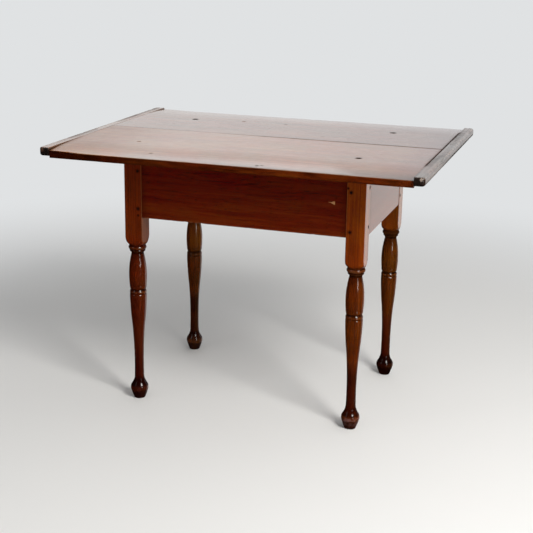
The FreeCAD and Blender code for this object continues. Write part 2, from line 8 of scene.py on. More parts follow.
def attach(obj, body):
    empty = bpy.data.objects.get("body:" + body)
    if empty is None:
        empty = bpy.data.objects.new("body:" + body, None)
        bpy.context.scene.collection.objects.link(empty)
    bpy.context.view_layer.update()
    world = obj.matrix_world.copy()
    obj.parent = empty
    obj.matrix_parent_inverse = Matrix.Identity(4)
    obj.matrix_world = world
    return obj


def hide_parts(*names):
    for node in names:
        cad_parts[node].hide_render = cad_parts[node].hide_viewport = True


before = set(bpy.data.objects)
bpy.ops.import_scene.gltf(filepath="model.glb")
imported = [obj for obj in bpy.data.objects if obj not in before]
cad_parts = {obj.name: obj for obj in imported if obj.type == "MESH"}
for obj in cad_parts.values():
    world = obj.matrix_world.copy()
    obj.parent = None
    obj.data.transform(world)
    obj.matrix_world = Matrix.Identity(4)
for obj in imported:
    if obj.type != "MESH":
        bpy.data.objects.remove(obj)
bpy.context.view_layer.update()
MM = 0.001


# ----------------------------------------------------------------------
# Legs. Each is one stick of red-brown fruitwood, left square where the aprons join it and turned
# below into a cup of beads, a vase, a long taper and a ball foot. Old varnish, dark in the hollows,
# rubbed pale on the arrises and almost black on the feet.

# Where the legs stand, in metres. A leg's own sizes are in millimetres.
LEG_X, LEG_Y = 0.2775, 0.190
LEG_HALF = 22.5
LEG_TOP = 644.0
BLOCK_FOOT = 406.0
SHOULDER_TOP = 426.0
LEG_STEPS = 96
LEG_ARRIS = 0.55
SHOULDER_START, SHOULDER_SWELL = 21.2, 2.0
SEAT_RADIUS = 6.5
FINE, COARSE = 0.8, 2.6

# Half outline of the turning, in millimetres: radius, height and how far the run to the next point
# stands off a straight line.
TURNING = (
    (14.0, 0.0, 0.0),
    (15.2, 3.0, 0.4),
    (22.4, 25.5, 0.0),
    (22.4, 28.0, 0.8),
    (19.0, 38.0, -2.0),
    (12.0, 62.0, -1.7),
    (15.3, 192.4, 1.1),
    (20.9, 277.4, 0.0),
    (18.9, 278.1, 0.0),
    (19.8, 278.8, 1.0),
    (19.8, 286.8, 0.0),
    (17.8, 289.3, 0.0),
    (19.6, 291.8, 0.4),
    (20.8, 299.8, 0.0),
    (20.0, 300.5, 0.0),
    (20.8, 301.2, 3.5),
    (15.2, 382.7, -0.6),
    (17.6, 388.2, 0.0),
    (18.8, 388.2, 0.6),
    (18.8, 392.2, 0.0),
    (18.0, 392.9, 0.0),
    (20.2, 393.6, 2.0),
    (20.2, 402.6, 0.0),
    (19.4, 403.3, 0.0),
    (20.6, 404.0, 0.0),
    (20.6, 406.0, 0.0),
)


def follow(outline, step):
    """Points along an outline of runs that may stand off a straight line, about a step apart."""
    points = []
    for (r0, z0, swell), (r1, z1, _) in zip(outline, outline[1:]):
        length = math.hypot(r1 - r0, z1 - z0)
        count = max(1, round(length / step(z0)))
        out_r, out_z = (z1 - z0) / length, -(r1 - r0) / length
        for i in range(count):
            t = i / count
            rise = swell * 4 * t * (1 - t)
            points.append((r0 + (r1 - r0) * t + out_r * rise, z0 + (z1 - z0) * t + out_z * rise))
    points.append(outline[-1][:2])
    return points


def soften(points, times):
    """The same points with their corners rubbed down a little."""
    for _ in range(times):
        middle = [((a[0] + 2 * b[0] + c[0]) / 4, (a[1] + 2 * b[1] + c[1]) / 4)
                  for a, b, c in zip(points, points[1:], points[2:])]
        points = [points[0]] + middle + [points[-1]]
    return points


def smooth_step(low, high, value):
    t = min(1.0, max(0.0, (value - low) / (high - low)))
    return t * t * (3 - 2 * t)


def float_layers(bm, *names):
    """Layers that the mesh code paints on the vertices, for the material to read."""
    return [bm.verts.layers.float.new(name) for name in names]


def fade(distance, reach):
    """1 at a line, less and less beyond it."""
    return math.exp(-distance / reach)


def bell(distance, reach):
    """1 on a line, still high beside it, nothing far off."""
    return math.exp(-(distance / reach) ** 2)


def new_piece(name, bm, materials, crease=38):
    """Makes a finished piece of a bmesh, lets it ride on the table and stand for its CAD node."""
    bmesh.ops.recalc_face_normals(bm, faces=bm.faces)
    mesh = bpy.data.meshes.new(name)
    bm.to_mesh(mesh)
    bm.free()
    mesh.shade_smooth()
    mesh.set_sharp_from_angle(angle=math.radians(crease))
    for material in materials:
        mesh.materials.append(material)
    piece = bpy.data.objects.new(name, mesh)
    bpy.context.scene.collection.objects.link(piece)
    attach(piece, "root")
    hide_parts(name)


turning = soften(follow(TURNING, lambda z: COARSE if 62 <= z < 270 else FINE), 1)


def radius_at(z):
    """Radius of the turning at a height, in millimetres."""
    if z <= 0:
        return turning[0][0]
    for (r0, z0), (r1, z1) in zip(turning, turning[1:]):
        if z0 <= z <= z1 and z1 > z0:
            return r0 + (r1 - r0) * (z - z0) / (z1 - z0)
    return turning[-1][0]


# How far the turning stands out from what is near it, and how deep in, every half millimetre.
crest_and_hollow = []
for half_millimetres in range(int(BLOCK_FOOT * 2) + 1):
    z = half_millimetres / 2
    around = [radius_at(z + offset) for offset in (-5, -3.5, -2, -1, 1, 2, 3.5, 5)]
    here = radius_at(z)
    crest_and_hollow.append((smooth_step(0.1, 1.3, here - sum(around) / len(around)),
                             smooth_step(0.1, 1.8, max(around) - here)))


def turn_leg(name, x, y, seed, collar, matt, foot, wood):
    """One leg: its outline is spun about Z and the block then squared. collar, matt and foot are how much
    dirt lies on the collar, how dull the collar and how rubbed the foot is, where a strong rubbing is partly
    a painted highlight."""
    bm = bmesh.new()
    wear, grime_and_shade, thin_and_lit, dull = float_layers(bm, "wear", "grime_and_shade", "thin_and_lit", "dull")
    corner = LEG_HALF * math.sqrt(2) - LEG_ARRIS
    shoulder = follow(((SHOULDER_START, BLOCK_FOOT, SHOULDER_SWELL), (corner, SHOULDER_TOP, 0.0)),
                      lambda z: FINE)
    stile = [(corner, SHOULDER_TOP + (LEG_TOP - SHOULDER_TOP) * i / 60) for i in range(1, 60)]
    head = [(corner, LEG_TOP - 0.6), (corner - 1.2, LEG_TOP), (12.0, LEG_TOP), (0.0, LEG_TOP)]
    profile = [(0.0, 0.0), (SEAT_RADIUS, 0.0)] + turning + shoulder + stile + head
    verts = [bm.verts.new((r * MM, 0, z * MM)) for r, z in profile]
    edges = [bm.edges.new(pair) for pair in zip(verts, verts[1:])]
    bmesh.ops.spin(bm, geom=verts + edges, cent=(0, 0, 0), axis=(0, 0, 1), dvec=(0, 0, 0),
                   angle=math.tau, steps=LEG_STEPS, use_merge=True, use_duplicate=False)
    bmesh.ops.remove_doubles(bm, verts=bm.verts, dist=1e-6)
    half = LEG_HALF * MM
    for v in bm.verts:
        z = v.co.z / MM
        spot = v.co * 1000 + Vector((seed * 37.0, seed * 11.0, 0))
        if z > BLOCK_FOOT + 0.01:
            v.co.x = min(half, max(-half, v.co.x))
            v.co.y = min(half, max(-half, v.co.y))
            to_arris = min(half - abs(v.co.x), half - abs(v.co.y))
            second = max(half - abs(v.co.x), half - abs(v.co.y)) / MM
            v[wear] = 0.3 * bell(second, 1.6) * smooth_step(BLOCK_FOOT, BLOCK_FOOT + 4, z)
            side_face = half - abs(v.co.x) < MM
            # The faces toward the middle of the table lose their gloss and take a pale tan tone: a painted
            # dim reflection.
            v[dull] = 0.8 if v.co.x * x < 0 and side_face else 0.0
            # Darker at the top of the block, under the board, and at its foot above the collar: painted
            # shade.
            v[grime_and_shade] = max(0.8 * bell(z - BLOCK_FOOT, 5), 0.6 * fade(LEG_TOP - z, 7))
            # The outer side faces, and the block toward its foot, are made lighter and more golden: painted
            # light.
            outer = 0.5 if v.co.x * x > 0 and side_face else 0.0
            v[thin_and_lit] = max(0.2 * (1 - smooth_step(SHOULDER_TOP, 520, z)), v[dull], outer)
            nick = smooth_step(0.18, 0.5, noise.noise(spot * 0.055)) * bell(second, 2.2)
            blunt = (0.10 + 0.5 * nick) * MM
            if to_arris < 1e-5 and z < LEG_TOP - 1:
                uneven = noise.noise(Vector((spot.x * 0.05, spot.y * 0.05, spot.z * 0.008)))
                planed = 0.09 * MM * (1 + uneven)
                v.co.x -= math.copysign(blunt + planed, v.co.x)
                v.co.y -= math.copysign(blunt + planed, v.co.y)
        else:
            crest, hollow = crest_and_hollow[min(len(crest_and_hollow) - 1, max(0, round(z * 2)))]
            v[wear] = max(0.8 * crest, foot * smooth_step(34, 26, z))
            v[thin_and_lit] = 0.2 * smooth_step(300, 330, z) * (1 - smooth_step(360, 380, z))
            v[grime_and_shade] = max(hollow, collar * smooth_step(380, 390, z))
            v[dull] = matt * smooth_step(382, 388, z)
            if z > 0.5:
                dent = smooth_step(0.30, 0.62, noise.noise(spot * 0.11)) * (0.25 + 0.5 * crest)
                uneven = 0.12 * (0.6 + noise.noise(Vector((spot.x * 0.03, spot.y * 0.03, spot.z * 0.02))))
                radius = max(1e-6, math.hypot(v.co.x, v.co.y))
                inward = 1 - min(0.6, dent + uneven) * MM / radius
                v.co.x *= inward
                v.co.y *= inward
    bmesh.ops.translate(bm, vec=(x, y, 0), verts=bm.verts)
    new_piece(name, bm, [wood])


def new_group(name, inputs, outputs):
    """An empty shader node group with its input and output nodes. inputs gives each socket's plain value,
    or None for a vector; outputs names the sockets, all numbers but Color."""
    tree = bpy.data.node_groups.new(name, "ShaderNodeTree")
    for socket, value in inputs.items():
        kind = "Vector" if value is None else "Color" if isinstance(value, tuple) else "Float"
        made = tree.interface.new_socket(socket, in_out="INPUT", socket_type="NodeSocket" + kind)
        if value is not None:
            made.default_value = value
    for socket in outputs:
        kind = "Color" if socket == "Color" else "Float"
        tree.interface.new_socket(socket, in_out="OUTPUT", socket_type="NodeSocket" + kind)
    return tree, tree.nodes.new("NodeGroupInput").outputs, tree.nodes.new("NodeGroupOutput")


class Wiring:
    """Adds nodes to a tree. A socket is given as a node's output, or as a plain value."""

    def __init__(self, tree):
        self.tree = tree

    def node(self, kind, inputs=(), **settings):
        node = self.tree.nodes.new("ShaderNode" + kind)
        for key, value in settings.items():
            setattr(node, key, value)
        self.feed(node, dict(inputs))
        return node

    def feed(self, node, inputs):
        for key, value in inputs.items():
            self.put(value, node.inputs[key])

    def put(self, value, socket):
        if isinstance(value, bpy.types.NodeSocket):
            self.tree.links.new(value, socket)
        else:
            socket.default_value = value

    def math(self, operation, a, b=0.0):
        return self.node("Math", {0: a, 1: b}, operation=operation).outputs[0]

    def plus(self, a, b):
        return self.math("ADD", a, b)

    def minus(self, a, b):
        return self.math("SUBTRACT", a, b)

    def times(self, a, b):
        return self.math("MULTIPLY", a, b)

    def within_one(self, value):
        """The value held between 0 and 1."""
        return self.node("Math", {0: value, 1: 0.0}, operation="ADD", use_clamp=True).outputs[0]

    def weigh(self, total, *shares):
        """A start value with several values added to it, each times its weight."""
        for value, weight in shares:
            total = self.node("Math", {0: value, 1: weight, 2: total}, operation="MULTIPLY_ADD").outputs[0]
        return total

    def vector(self, operation, a, b):
        return self.node("VectorMath", {0: a, 1: b}, operation=operation).outputs[0]

    def stretch(self, vector, by):
        return self.vector("MULTIPLY", vector, by)

    def split(self, vector):
        return self.node("SeparateXYZ", {0: vector}).outputs

    def grey(self, value):
        return self.node("CombineXYZ", {0: value, 1: value, 2: value}).outputs[0]

    def painted(self, layer):
        """What the mesh code has painted on the vertices under that name."""
        return self.node("Attribute", attribute_name=layer).outputs["Fac"]

    def noise(self, vector, scale, detail=2.0, roughness=0.5):
        inputs = {"Vector": vector, "Scale": scale, "Detail": detail, "Roughness": roughness}
        return self.node("TexNoise", inputs).outputs["Fac"]

    def ramp(self, value, low, high, to_low=0.0, to_high=1.0):
        inputs = {"Value": value, "From Min": low, "From Max": high, "To Min": to_low, "To Max": to_high}
        return self.node("MapRange", inputs, interpolation_type="SMOOTHSTEP").outputs["Result"]

    def mix(self, share, a, b, blend="MIX"):
        made = self.tree.nodes.new("ShaderNodeMix")
        made.data_type = "RGBA"
        made.blend_type = blend
        self.put(share, made.inputs["Factor"])
        self.put(a, made.inputs[6])
        self.put(b, made.inputs[7])
        return made.outputs[2]

    def bump(self, height, strength, distance):
        return self.node("Bump", {"Strength": strength, "Distance": distance, "Height": height}).outputs[0]

    def tint(self, colour, tone, share=1.0):
        return self.mix(share, colour, (*tone, 1), "MULTIPLY")


GRAIN = ("Rings", "Streaks", "Fibres", "Pores", "Clouds")
PAINTED = ("Wear", "Grime_And_Shade", "Bare", "Thin_And_Lit", "Dull")
VARNISH_ROUGHNESS, VARNISH_IOR = 0.14, 1.85


def make_grain_group():
    """Growth rings round a pith that lies on the Z axis of the given vector, streaks and fibres along
    it, short pores, and broad clouds of lighter and darker wood."""
    inputs = {"Vector": None, "Ring Width": 0.004, "Wander": 0.01}
    tree, given, result = new_group("wood_grain", inputs, GRAIN)
    w = Wiring(tree)
    place = given["Vector"]
    slow = w.stretch(place, (1, 1, 0.22))
    drift = w.node("TexNoise", {"Vector": slow, "Scale": 7.0, "Detail": 3.0, "Roughness": 0.45})
    drift = w.vector("SUBTRACT", drift.outputs["Color"], (0.5, 0.5, 0.5))
    drift = w.node("VectorMath", {0: drift, "Scale": given["Wander"]}, operation="SCALE").outputs[0]
    bent = w.vector("ADD", place, w.stretch(drift, (1, 1, 0)))
    across = w.stretch(bent, (1, 1, 0))
    radius = w.node("VectorMath", {0: across}, operation="LENGTH").outputs["Value"]
    count = w.math("DIVIDE", radius, given["Ring Width"])
    bunch = w.noise(w.node("CombineXYZ", {"X": radius}).outputs[0], 55.0, 1.0)
    count = w.plus(count, w.times(bunch, 3.0))
    year = w.math("FRACT", count)
    rise = w.ramp(year, 0.05, 0.9)
    fall = w.ramp(year, 0.9, 1.0, 1.0, 0.0)
    random = w.node("TexWhiteNoise", {"W": w.math("FLOOR", count)}, noise_dimensions="1D")
    strength = w.plus(w.times(random.outputs["Value"], 0.8), 0.2)
    ring = w.times(w.times(rise, fall), strength)
    long_grain = w.stretch(bent, (1, 1, 0.03))
    broad = w.ramp(w.noise(long_grain, 120.0, 2.0, 0.5), 0.3, 0.7)
    narrow = w.ramp(w.noise(long_grain, 420.0, 3.0, 0.6), 0.32, 0.68)
    short = w.stretch(bent, (1, 1, 0.07))
    cloudy = w.stretch(place, (1, 1, 0.3))
    w.feed(result, {
        "Rings": ring,
        "Streaks": w.weigh(0.0, (broad, 0.6), (narrow, 0.4)),
        "Fibres": w.noise(w.stretch(bent, (1, 1, 0.02)), 1500.0, 2.0, 0.6),
        "Pores": w.ramp(w.noise(short, 1900.0, 1.0, 0.4), 0.60, 0.70),
        "Clouds": w.ramp(w.noise(cloudy, 14.0, 3.0, 0.55), 0.3, 0.7),
    })
    return tree


def make_varnish_group():
    """Old varnish over grain: darker late wood and pores, clouds, a lighter, warmer tone where it wears
    slim and where it paints on light, bare wood where it is rubbed off, black dirt in the hollows and
    painted shade, small dents and scuffs. It also gives the roughness, the height of the surface and how
    much of the gloss is left."""
    inputs = dict.fromkeys((*GRAIN, *PAINTED, "Open", "Contrast", "Gloss"), 0.0)
    inputs.update(dict.fromkeys(("Light Wood", "Dark Wood", "Rubbed Wood"), (0.0, 0.0, 0.0, 1.0)))
    inputs.update({"Dirt": (0.0065, 0.0016, 0.0006, 1), "Vector": None})
    tree, value, result = new_group("old_varnish", inputs, ("Color", "Roughness", "Height", "Varnish"))
    w = Wiring(tree)
    spot = value["Vector"]
    depth = w.weigh(0.0, (value["Rings"], 0.40), (value["Streaks"], 0.65), (value["Clouds"], 0.35))
    depth = w.within_one(w.minus(w.times(depth, value["Contrast"]), w.times(value["Thin_And_Lit"], 0.55)))
    wood = w.mix(depth, value["Light Wood"], value["Dark Wood"])
    tone = w.ramp(w.noise(spot, 11.0, 3.0, 0.5), 0.32, 0.68)
    warm = w.mix(tone, (1.04, 0.88, 0.80, 1), (0.96, 1.12, 1.16, 1))
    wood = w.mix(1.0, wood, warm, "MULTIPLY")
    fibre = w.ramp(value["Fibres"], 0.3, 0.7, 0.84, 1.12)
    wood = w.mix(1.0, wood, w.grey(fibre), "MULTIPLY")
    wood = w.mix(w.times(value["Pores"], 0.5), wood, value["Dirt"])
    patchy = w.noise(spot, 90.0, 4.0, 0.65)
    golden = w.within_one(w.times(value["Thin_And_Lit"], w.ramp(value["Streaks"], 0.25, 0.75, 0.7, 0.0)))
    wood = w.tint(wood, (1.35, 1.9, 1.5), golden)
    rubbed = w.times(value["Wear"], w.ramp(patchy, 0.38, 0.62, 0.0, 0.75))
    wood = w.mix(rubbed, wood, value["Rubbed Wood"])
    bared = w.ramp(w.plus(value["Bare"], w.times(patchy, 0.4)), 0.52, 0.72)
    wood = w.mix(bared, wood, value["Rubbed Wood"])
    wood = w.mix(w.times(value["Dull"], 0.5), wood, (0.13, 0.085, 0.040, 1))
    smudge = w.noise(spot, 35.0, 4.0, 0.6)
    # This mask is dirt, and also painted shade where the mesh code lays it; the dirt colour goes on both.
    dirt_and_shade = w.within_one(w.times(value["Grime_And_Shade"], w.ramp(smudge, 0.2, 0.65, 0.55, 1.0)))
    wood = w.mix(w.times(dirt_and_shade, 0.88), wood, value["Dirt"])
    cells = w.node("TexVoronoi", {"Vector": spot, "Scale": 38.0, "Randomness": 1.0})
    chance = w.split(cells.outputs["Color"])
    near = w.ramp(cells.outputs["Distance"], 0.02, 0.075, 1.0, 0.0)
    dent = w.times(near, w.math("GREATER_THAN", chance["X"], 0.66))
    wood = w.mix(w.times(dent, 0.45), wood, value["Dirt"])
    turned = w.node("VectorRotate", {"Vector": spot, "Angle": 0.7}, rotation_type="AXIS_ANGLE").outputs[0]
    hairs = w.noise(w.stretch(turned, (1, 0.02, 1)), 900.0, 1.0, 0.4)
    others = w.noise(w.stretch(turned, (0.03, 1, 1)), 800.0, 1.0, 0.4)
    scuff = w.ramp(w.math("MAXIMUM", hairs, others), 0.70, 0.76)
    wood = w.tint(wood, (1.5, 1.7, 1.8), w.times(scuff, 0.4))
    rough = w.weigh(value["Gloss"], (w.minus(smudge, 0.5), 0.22), (dirt_and_shade, 0.35), (scuff, 0.15),
                    (value["Dull"], 0.15), (bared, 0.3))
    height = w.weigh(0.0, (value["Fibres"], 0.25), (value["Pores"], -0.5), (value["Rings"], -0.12),
                     (patchy, 0.25), (dent, -0.9), (bared, -0.8))
    opened = w.math("MAXIMUM", value["Streaks"], value["Pores"])
    lost = w.weigh(value["Dull"], (opened, value["Open"]), (bared, 0.9), (dirt_and_shade, 0.9), (scuff, 0.25))
    w.feed(result, {"Color": wood, "Roughness": w.within_one(rough), "Height": height,
                    "Varnish": w.minus(1.0, w.within_one(lost))})
    return tree


wood_grain = make_grain_group()
old_varnish = make_varnish_group()


def dark_spots(w, spot, marks):
    """Dirt in old nail holes and round pegs. Each mark is the two axes it is seen on, its place on
    them, its radius and its strength."""
    place = w.split(spot)
    dirt = 0.0
    for axes, centre, radius, strength in marks:
        flat = w.node("CombineXYZ", {0: place[axes[0]], 1: place[axes[1]]}).outputs[0]
        away = w.node("VectorMath", {0: flat, 1: (*centre, 0)}, operation="DISTANCE").outputs["Value"]
        dirt = w.math("MAXIMUM", dirt, w.ramp(away, radius * 0.6, radius * 1.15, strength, 0.0))
    return dirt


def new_material(name):
    """A material with its shader, the wiring of its tree and the places on the table in metres."""
    material = bpy.data.materials.new(name)
    material.use_nodes = True
    tree = material.node_tree
    w = Wiring(tree)
    return material, tree.nodes["Principled BSDF"], w, w.node("TexCoord").outputs["Object"]


def lay_grain(w, spot, pith, turn, ring_width, wander):
    """The grain of a piece, and the place it is read at. pith is where the heart of the tree lies and
    turn brings the grain onto Z."""
    place = w.node("Mapping", {"Vector": spot, "Location": pith, "Rotation": turn}).outputs[0]
    inputs = {"Vector": place, "Ring Width": ring_width, "Wander": wander}
    return w.node("Group", inputs, node_tree=wood_grain).outputs, place


def varnished_wood(name, pith, turn, ring_width, wander, light, dark, rubbed, contrast, gloss,
                   bump=0.25, glow=0.0, shades=(), flake=None, edge=None, marks=(), open_grain=0.0,
                   coat_ior=VARNISH_IOR, painted_sheen=None, dark_rim_below=None):
    """Glow is the shine of the wood under the varnish, shades are tones that come in below a height, some of
    the legs' being painted shade, flake gives more bare wood, edge is the painted shade of the sides of a
    board and the darker tips of the ends, marks are dark spots, open_grain is how far the streaks break the
    gloss, painted_sheen is the tint of a painted reflection, and below dark_rim_below the gloss is gone
    where the round wood turns away."""
    material, shader, w, spot = new_material(name)
    grain, _ = lay_grain(w, spot, pith, turn, ring_width, wander)
    given = {key: grain[key] for key in GRAIN}
    given.update((key, w.painted(key.lower())) for key in PAINTED)
    if marks:
        given["Grime_And_Shade"] = w.math("MAXIMUM", given["Grime_And_Shade"], dark_spots(w, spot, marks))
    if flake:
        given["Bare"] = flake(w, spot)
    given.update({"Vector": spot, "Open": open_grain, "Contrast": contrast, "Gloss": gloss})
    given.update({"Light Wood": (*light, 1), "Dark Wood": (*dark, 1), "Rubbed Wood": (*rubbed, 1)})
    varnish = w.node("Group", given, node_tree=old_varnish).outputs
    colour = varnish["Color"]
    height = w.split(spot)["Z"]
    for low, high, tone in shades:
        colour = w.tint(colour, tone, w.ramp(height, low, high, 1.0, 0.0))
    if painted_sheen:
        colour = w.tint(colour, painted_sheen, w.painted("painted_sheen"))
    if edge:
        colour = w.tint(colour, edge, w.painted("edge"))
    gloss_left = varnish["Varnish"]
    if dark_rim_below:
        facing = w.node("LayerWeight", {"Blend": 0.5}).outputs["Facing"]
        turned = w.ramp(height, dark_rim_below - 0.006, dark_rim_below, 1.0, 0.0)
        rim = w.times(w.ramp(facing, 0.5, 0.85), turned)
        gloss_left = w.times(gloss_left, w.minus(1.0, rim))
    w.feed(shader, {
        "Base Color": colour, "Roughness": varnish["Roughness"], "Specular IOR Level": glow,
        "Normal": w.bump(varnish["Height"], bump, 0.0006),
        "Coat Weight": gloss_left, "Coat Roughness": VARNISH_ROUGHNESS, "Coat IOR": coat_ior})
    return material


LEG_RUBBED = (0.33, 0.12, 0.03)
# The first shade darkens the legs below 0.44 to 0.50 m, where the lamps light them below the shadow of the
# top: painted shade. The others are tones by height.
LEG_SHADES = (
    (0.44, 0.50, (0.74, 0.72, 0.75)), (0.39, 0.41, (0.62, 0.64, 0.64)), (0.27, 0.29, (1.08, 1.0, 0.9)),
    (0.06, 0.20, (0.56, 0.40, 0.6)), (0.02, 0.05, (1.1, 2.2, 7.0)),
)
PEG_X, PEG_Y = 0.2645, 0.177
PEG_HEIGHTS = (0.593, 0.500)
PEG_STEP = 0.008
ROUND_PEG, NAIL_HOLE = 0.0062, 0.0036

# Each leg: its corner, its pith, how much dirt lies on its collar, how dull its collar is and how rubbed
# its foot is, its light and dark wood, its own shades and its nail holes.
LEGS = (
    ("leg_front_left", -1, -1, (0.262, 0.231, 0.0), (0.5, 0.0, 0.1),
     (0.205, 0.024, 0.0005), (0.062, 0.0042, 0.0002),
     ((0.11, 0.15, (0.9, 0.65, 0.9)), (0.06, 0.09, (1.1, 1.4, 1.1))),
     (("XZ", (-0.2645, 0.4835)),)),
    # The front right foot's rubbing of 1.7 is wear and partly a painted highlight on the ball.
    ("leg_front_right", 1, -1, (-0.246, 0.212, 0.3), (0.25, 0.45, 1.7),
     (0.300, 0.054, 0.0006), (0.098, 0.0115, 0.0003),
     ((0.135, 0.180, (0.43, 0.34, 0.5)), (0.090, 0.120, (1.35, 1.5, 1.3)), (0.040, 0.065, (2.4, 2.6, 1.6))),
     (("XZ", (0.2575, 0.5945)),)),
    ("leg_back_right", 1, 1, (-0.301, -0.171, 0.6), (0.9, 0.3, 0.0),
     (0.250, 0.056, 0.0008), (0.076, 0.0125, 0.0003),
     ((0.14, 0.19, (0.80, 0.50, 0.7)), (0.035, 0.060, (0.58, 0.52, 0.5))),
     ()),
    ("leg_back_left", -1, 1, (0.249, -0.228, 0.9), (0.5, 0.0, 0.2),
     (0.280, 0.056, 0.0008), (0.090, 0.0117, 0.0003),
     ((0.395, 0.415, (1.61, 1.88, 2.5)), (0.29, 0.31, (0.62, 0.60, 0.6)), (0.150, 0.175, (0.40, 0.32, 0.5)),
      (0.100, 0.125, (1.8, 2.2, 1.6)), (0.045, 0.065, (1.9, 1.9, 1.7))),
     (("YZ", (0.2005, 0.560)),)),
)
for seed, leg in enumerate(LEGS, start=1):
    name, across, way, pith, (collar, matt, foot), light, dark, own_shades, holes = leg
    lower = PEG_STEP if across * way < 0 else 0.0
    marks = [("XZ", (PEG_X * across, height - lower), ROUND_PEG, 0.7) for height in PEG_HEIGHTS]
    marks += [("YZ", (PEG_Y * way, height), ROUND_PEG, 0.7) for height in PEG_HEIGHTS]
    marks += [(axes, centre, NAIL_HOLE, 1.0) for axes, centre in holes]
    leg_wood = varnished_wood(
        name + "_wood", pith, (0, 0, 0), 0.0042, 0.012, light, dark, LEG_RUBBED,
        contrast=0.8, gloss=0.3, shades=LEG_SHADES + own_shades, marks=marks, dark_rim_below=0.408)
    turn_leg(name, LEG_X * across, LEG_Y * way, seed, collar, matt, foot, leg_wood)


# ----------------------------------------------------------------------
# Aprons. Four deep boards of the same wood, planed by hand, their grain lying level. Their tenons go
# into the legs; their faces lie a hair behind the legs' faces. Inside they were never varnished.

LEG_FACE_X, LEG_FACE_Y = LEG_X + LEG_HALF * MM, LEG_Y + LEG_HALF * MM
LONG_SPAN, SHORT_SPAN = 2 * (LEG_X - LEG_HALF * MM), 2 * (LEG_Y - LEG_HALF * MM)
APRON_REVEAL = 0.0008
APRON_TOP = LEG_TOP * MM
APRON_FOOT = 0.478
APRON_THICK = 0.021
APRON_ARRIS = 0.0014
APRON_STEP = 0.0030


def lengthwise(bm, axis, least=0.0):
    """Edges that run along an axis and are longer than least."""
    runs = [(edge, edge.verts[1].co - edge.verts[0].co) for edge in bm.edges]
    return [edge for edge, run in runs if run.length > least and abs(run[axis]) > 0.999 * run.length]


def cut_into_steps(bm, axis, step, least):
    """Cuts every edge longer than least along an axis into steps, and joins the cuts across."""
    edges = lengthwise(bm, axis, least)
    cuts = round(max(edge.calc_length() for edge in edges) / step)
    bmesh.ops.subdivide_edges(bm, edges=edges, cuts=cuts, use_grid_fill=True)


def box_between(bm, low, high):
    """A box from its lowest to its highest corner."""
    low, high = Vector(low), Vector(high)
    made = bmesh.ops.create_cube(bm, size=1.0)
    bmesh.ops.scale(bm, vec=high - low, verts=made["verts"])
    bmesh.ops.translate(bm, vec=(low + high) / 2, verts=made["verts"])


def round_over(bm, edges, width, segments=3):
    return bmesh.ops.bevel(bm, geom=edges, offset=width, offset_type="OFFSET", affect="EDGES",
                           segments=segments, profile=0.5, material=-1)


def raw_wood(name, pith, turn, light, dark):
    """Wood that was never varnished: dull, browned and dusty, rough from the saw."""
    material, shader, w, spot = new_material(name)
    grain, place = lay_grain(w, spot, pith, turn, 0.0045, 0.02)
    depth = w.weigh(0.0, (grain["Rings"], 0.4), (grain["Streaks"], 0.3), (grain["Clouds"], 0.3))
    wood = w.mix(w.within_one(depth), (*light, 1), (*dark, 1))
    dust = w.noise(spot, 24.0, 5.0, 0.7)
    wood = w.mix(w.ramp(dust, 0.4, 0.75, 0.0, 0.45), wood, (0.16, 0.13, 0.10, 1))
    saw = w.node("TexWave", {"Vector": place, "Scale": 95.0, "Distortion": 2.5, "Detail": 2.0},
                 bands_direction="Z").outputs["Fac"]
    relief = w.weigh(0.0, (grain["Fibres"], 0.6), (saw, 0.35))
    w.feed(shader, {"Base Color": wood, "Roughness": w.ramp(dust, 0.2, 0.8, 0.72, 0.95),
                    "Normal": w.bump(relief, 0.4, 0.0008)})
    return material


def plane_apron(name, span, wood, raw, seed, joint_dirt, turn, move):
    """Drawn as the front apron, its face at y = 0, then turned about Z and moved into its place."""
    bm = bmesh.new()
    wear, grime_and_shade, thin_and_lit = float_layers(bm, "wear", "grime_and_shade", "thin_and_lit")
    half = span / 2 - 0.0002
    box_between(bm, (-half, 0, APRON_FOOT), (half, APRON_THICK, APRON_TOP))
    low = [e for e in lengthwise(bm, 0) if e.verts[0].co.z < APRON_FOOT + 0.001]
    round_over(bm, low, APRON_ARRIS)
    cut_into_steps(bm, 0, APRON_STEP, 0.1)
    cut_into_steps(bm, 2, APRON_STEP, 0.1)
    for v in bm.verts:
        x, y, z = v.co
        on_face = y < 0.0001
        from_foot = (z - APRON_FOOT) / MM
        to_leg = (half - abs(x)) / MM
        v[wear] = 0.35 * bell(from_foot, 1.8)
        # Dirt at the joints with the legs; the darker band just under the top is painted shade.
        v[grime_and_shade] = max(joint_dirt * max(0.8 * fade(to_leg, 3.0), 0.45 * bell(to_leg, 12)),
                       0.75 * fade((APRON_TOP - z) / MM, 8))
        ragged = 14 * noise.noise(Vector((x * 5, seed, z * 14)))
        v[thin_and_lit] = 0.75 * (1 - smooth_step(5, 120, from_foot + ragged))
        spot = Vector((x * 1000 + seed * 71, 0, z * 1000))
        if on_face:
            scallop = 0.05 * (1 + math.sin(z * 190 + 1.3 * noise.noise(spot * 0.006)))
            waves = 0.12 * (1 + noise.noise(Vector((spot.x * 0.006, seed, spot.z * 0.03))))
            v.co.y += (scallop + waves) * MM
        if from_foot < 3:
            nick = smooth_step(0.2, 0.5, noise.noise(Vector((spot.x * 0.05, seed * 3.0, 0))))
            v.co.z += nick * 0.7 * MM * bell(from_foot, 1.5)
    for face in bm.faces:
        if face.calc_center_median().y > APRON_THICK - 0.0003:
            face.material_index = 1
    bmesh.ops.rotate(bm, cent=(0, 0, 0), matrix=Matrix.Rotation(turn, 3, "Z"), verts=bm.verts)
    bmesh.ops.translate(bm, vec=(*move, 0), verts=bm.verts)
    new_piece(name, bm, [wood, raw])


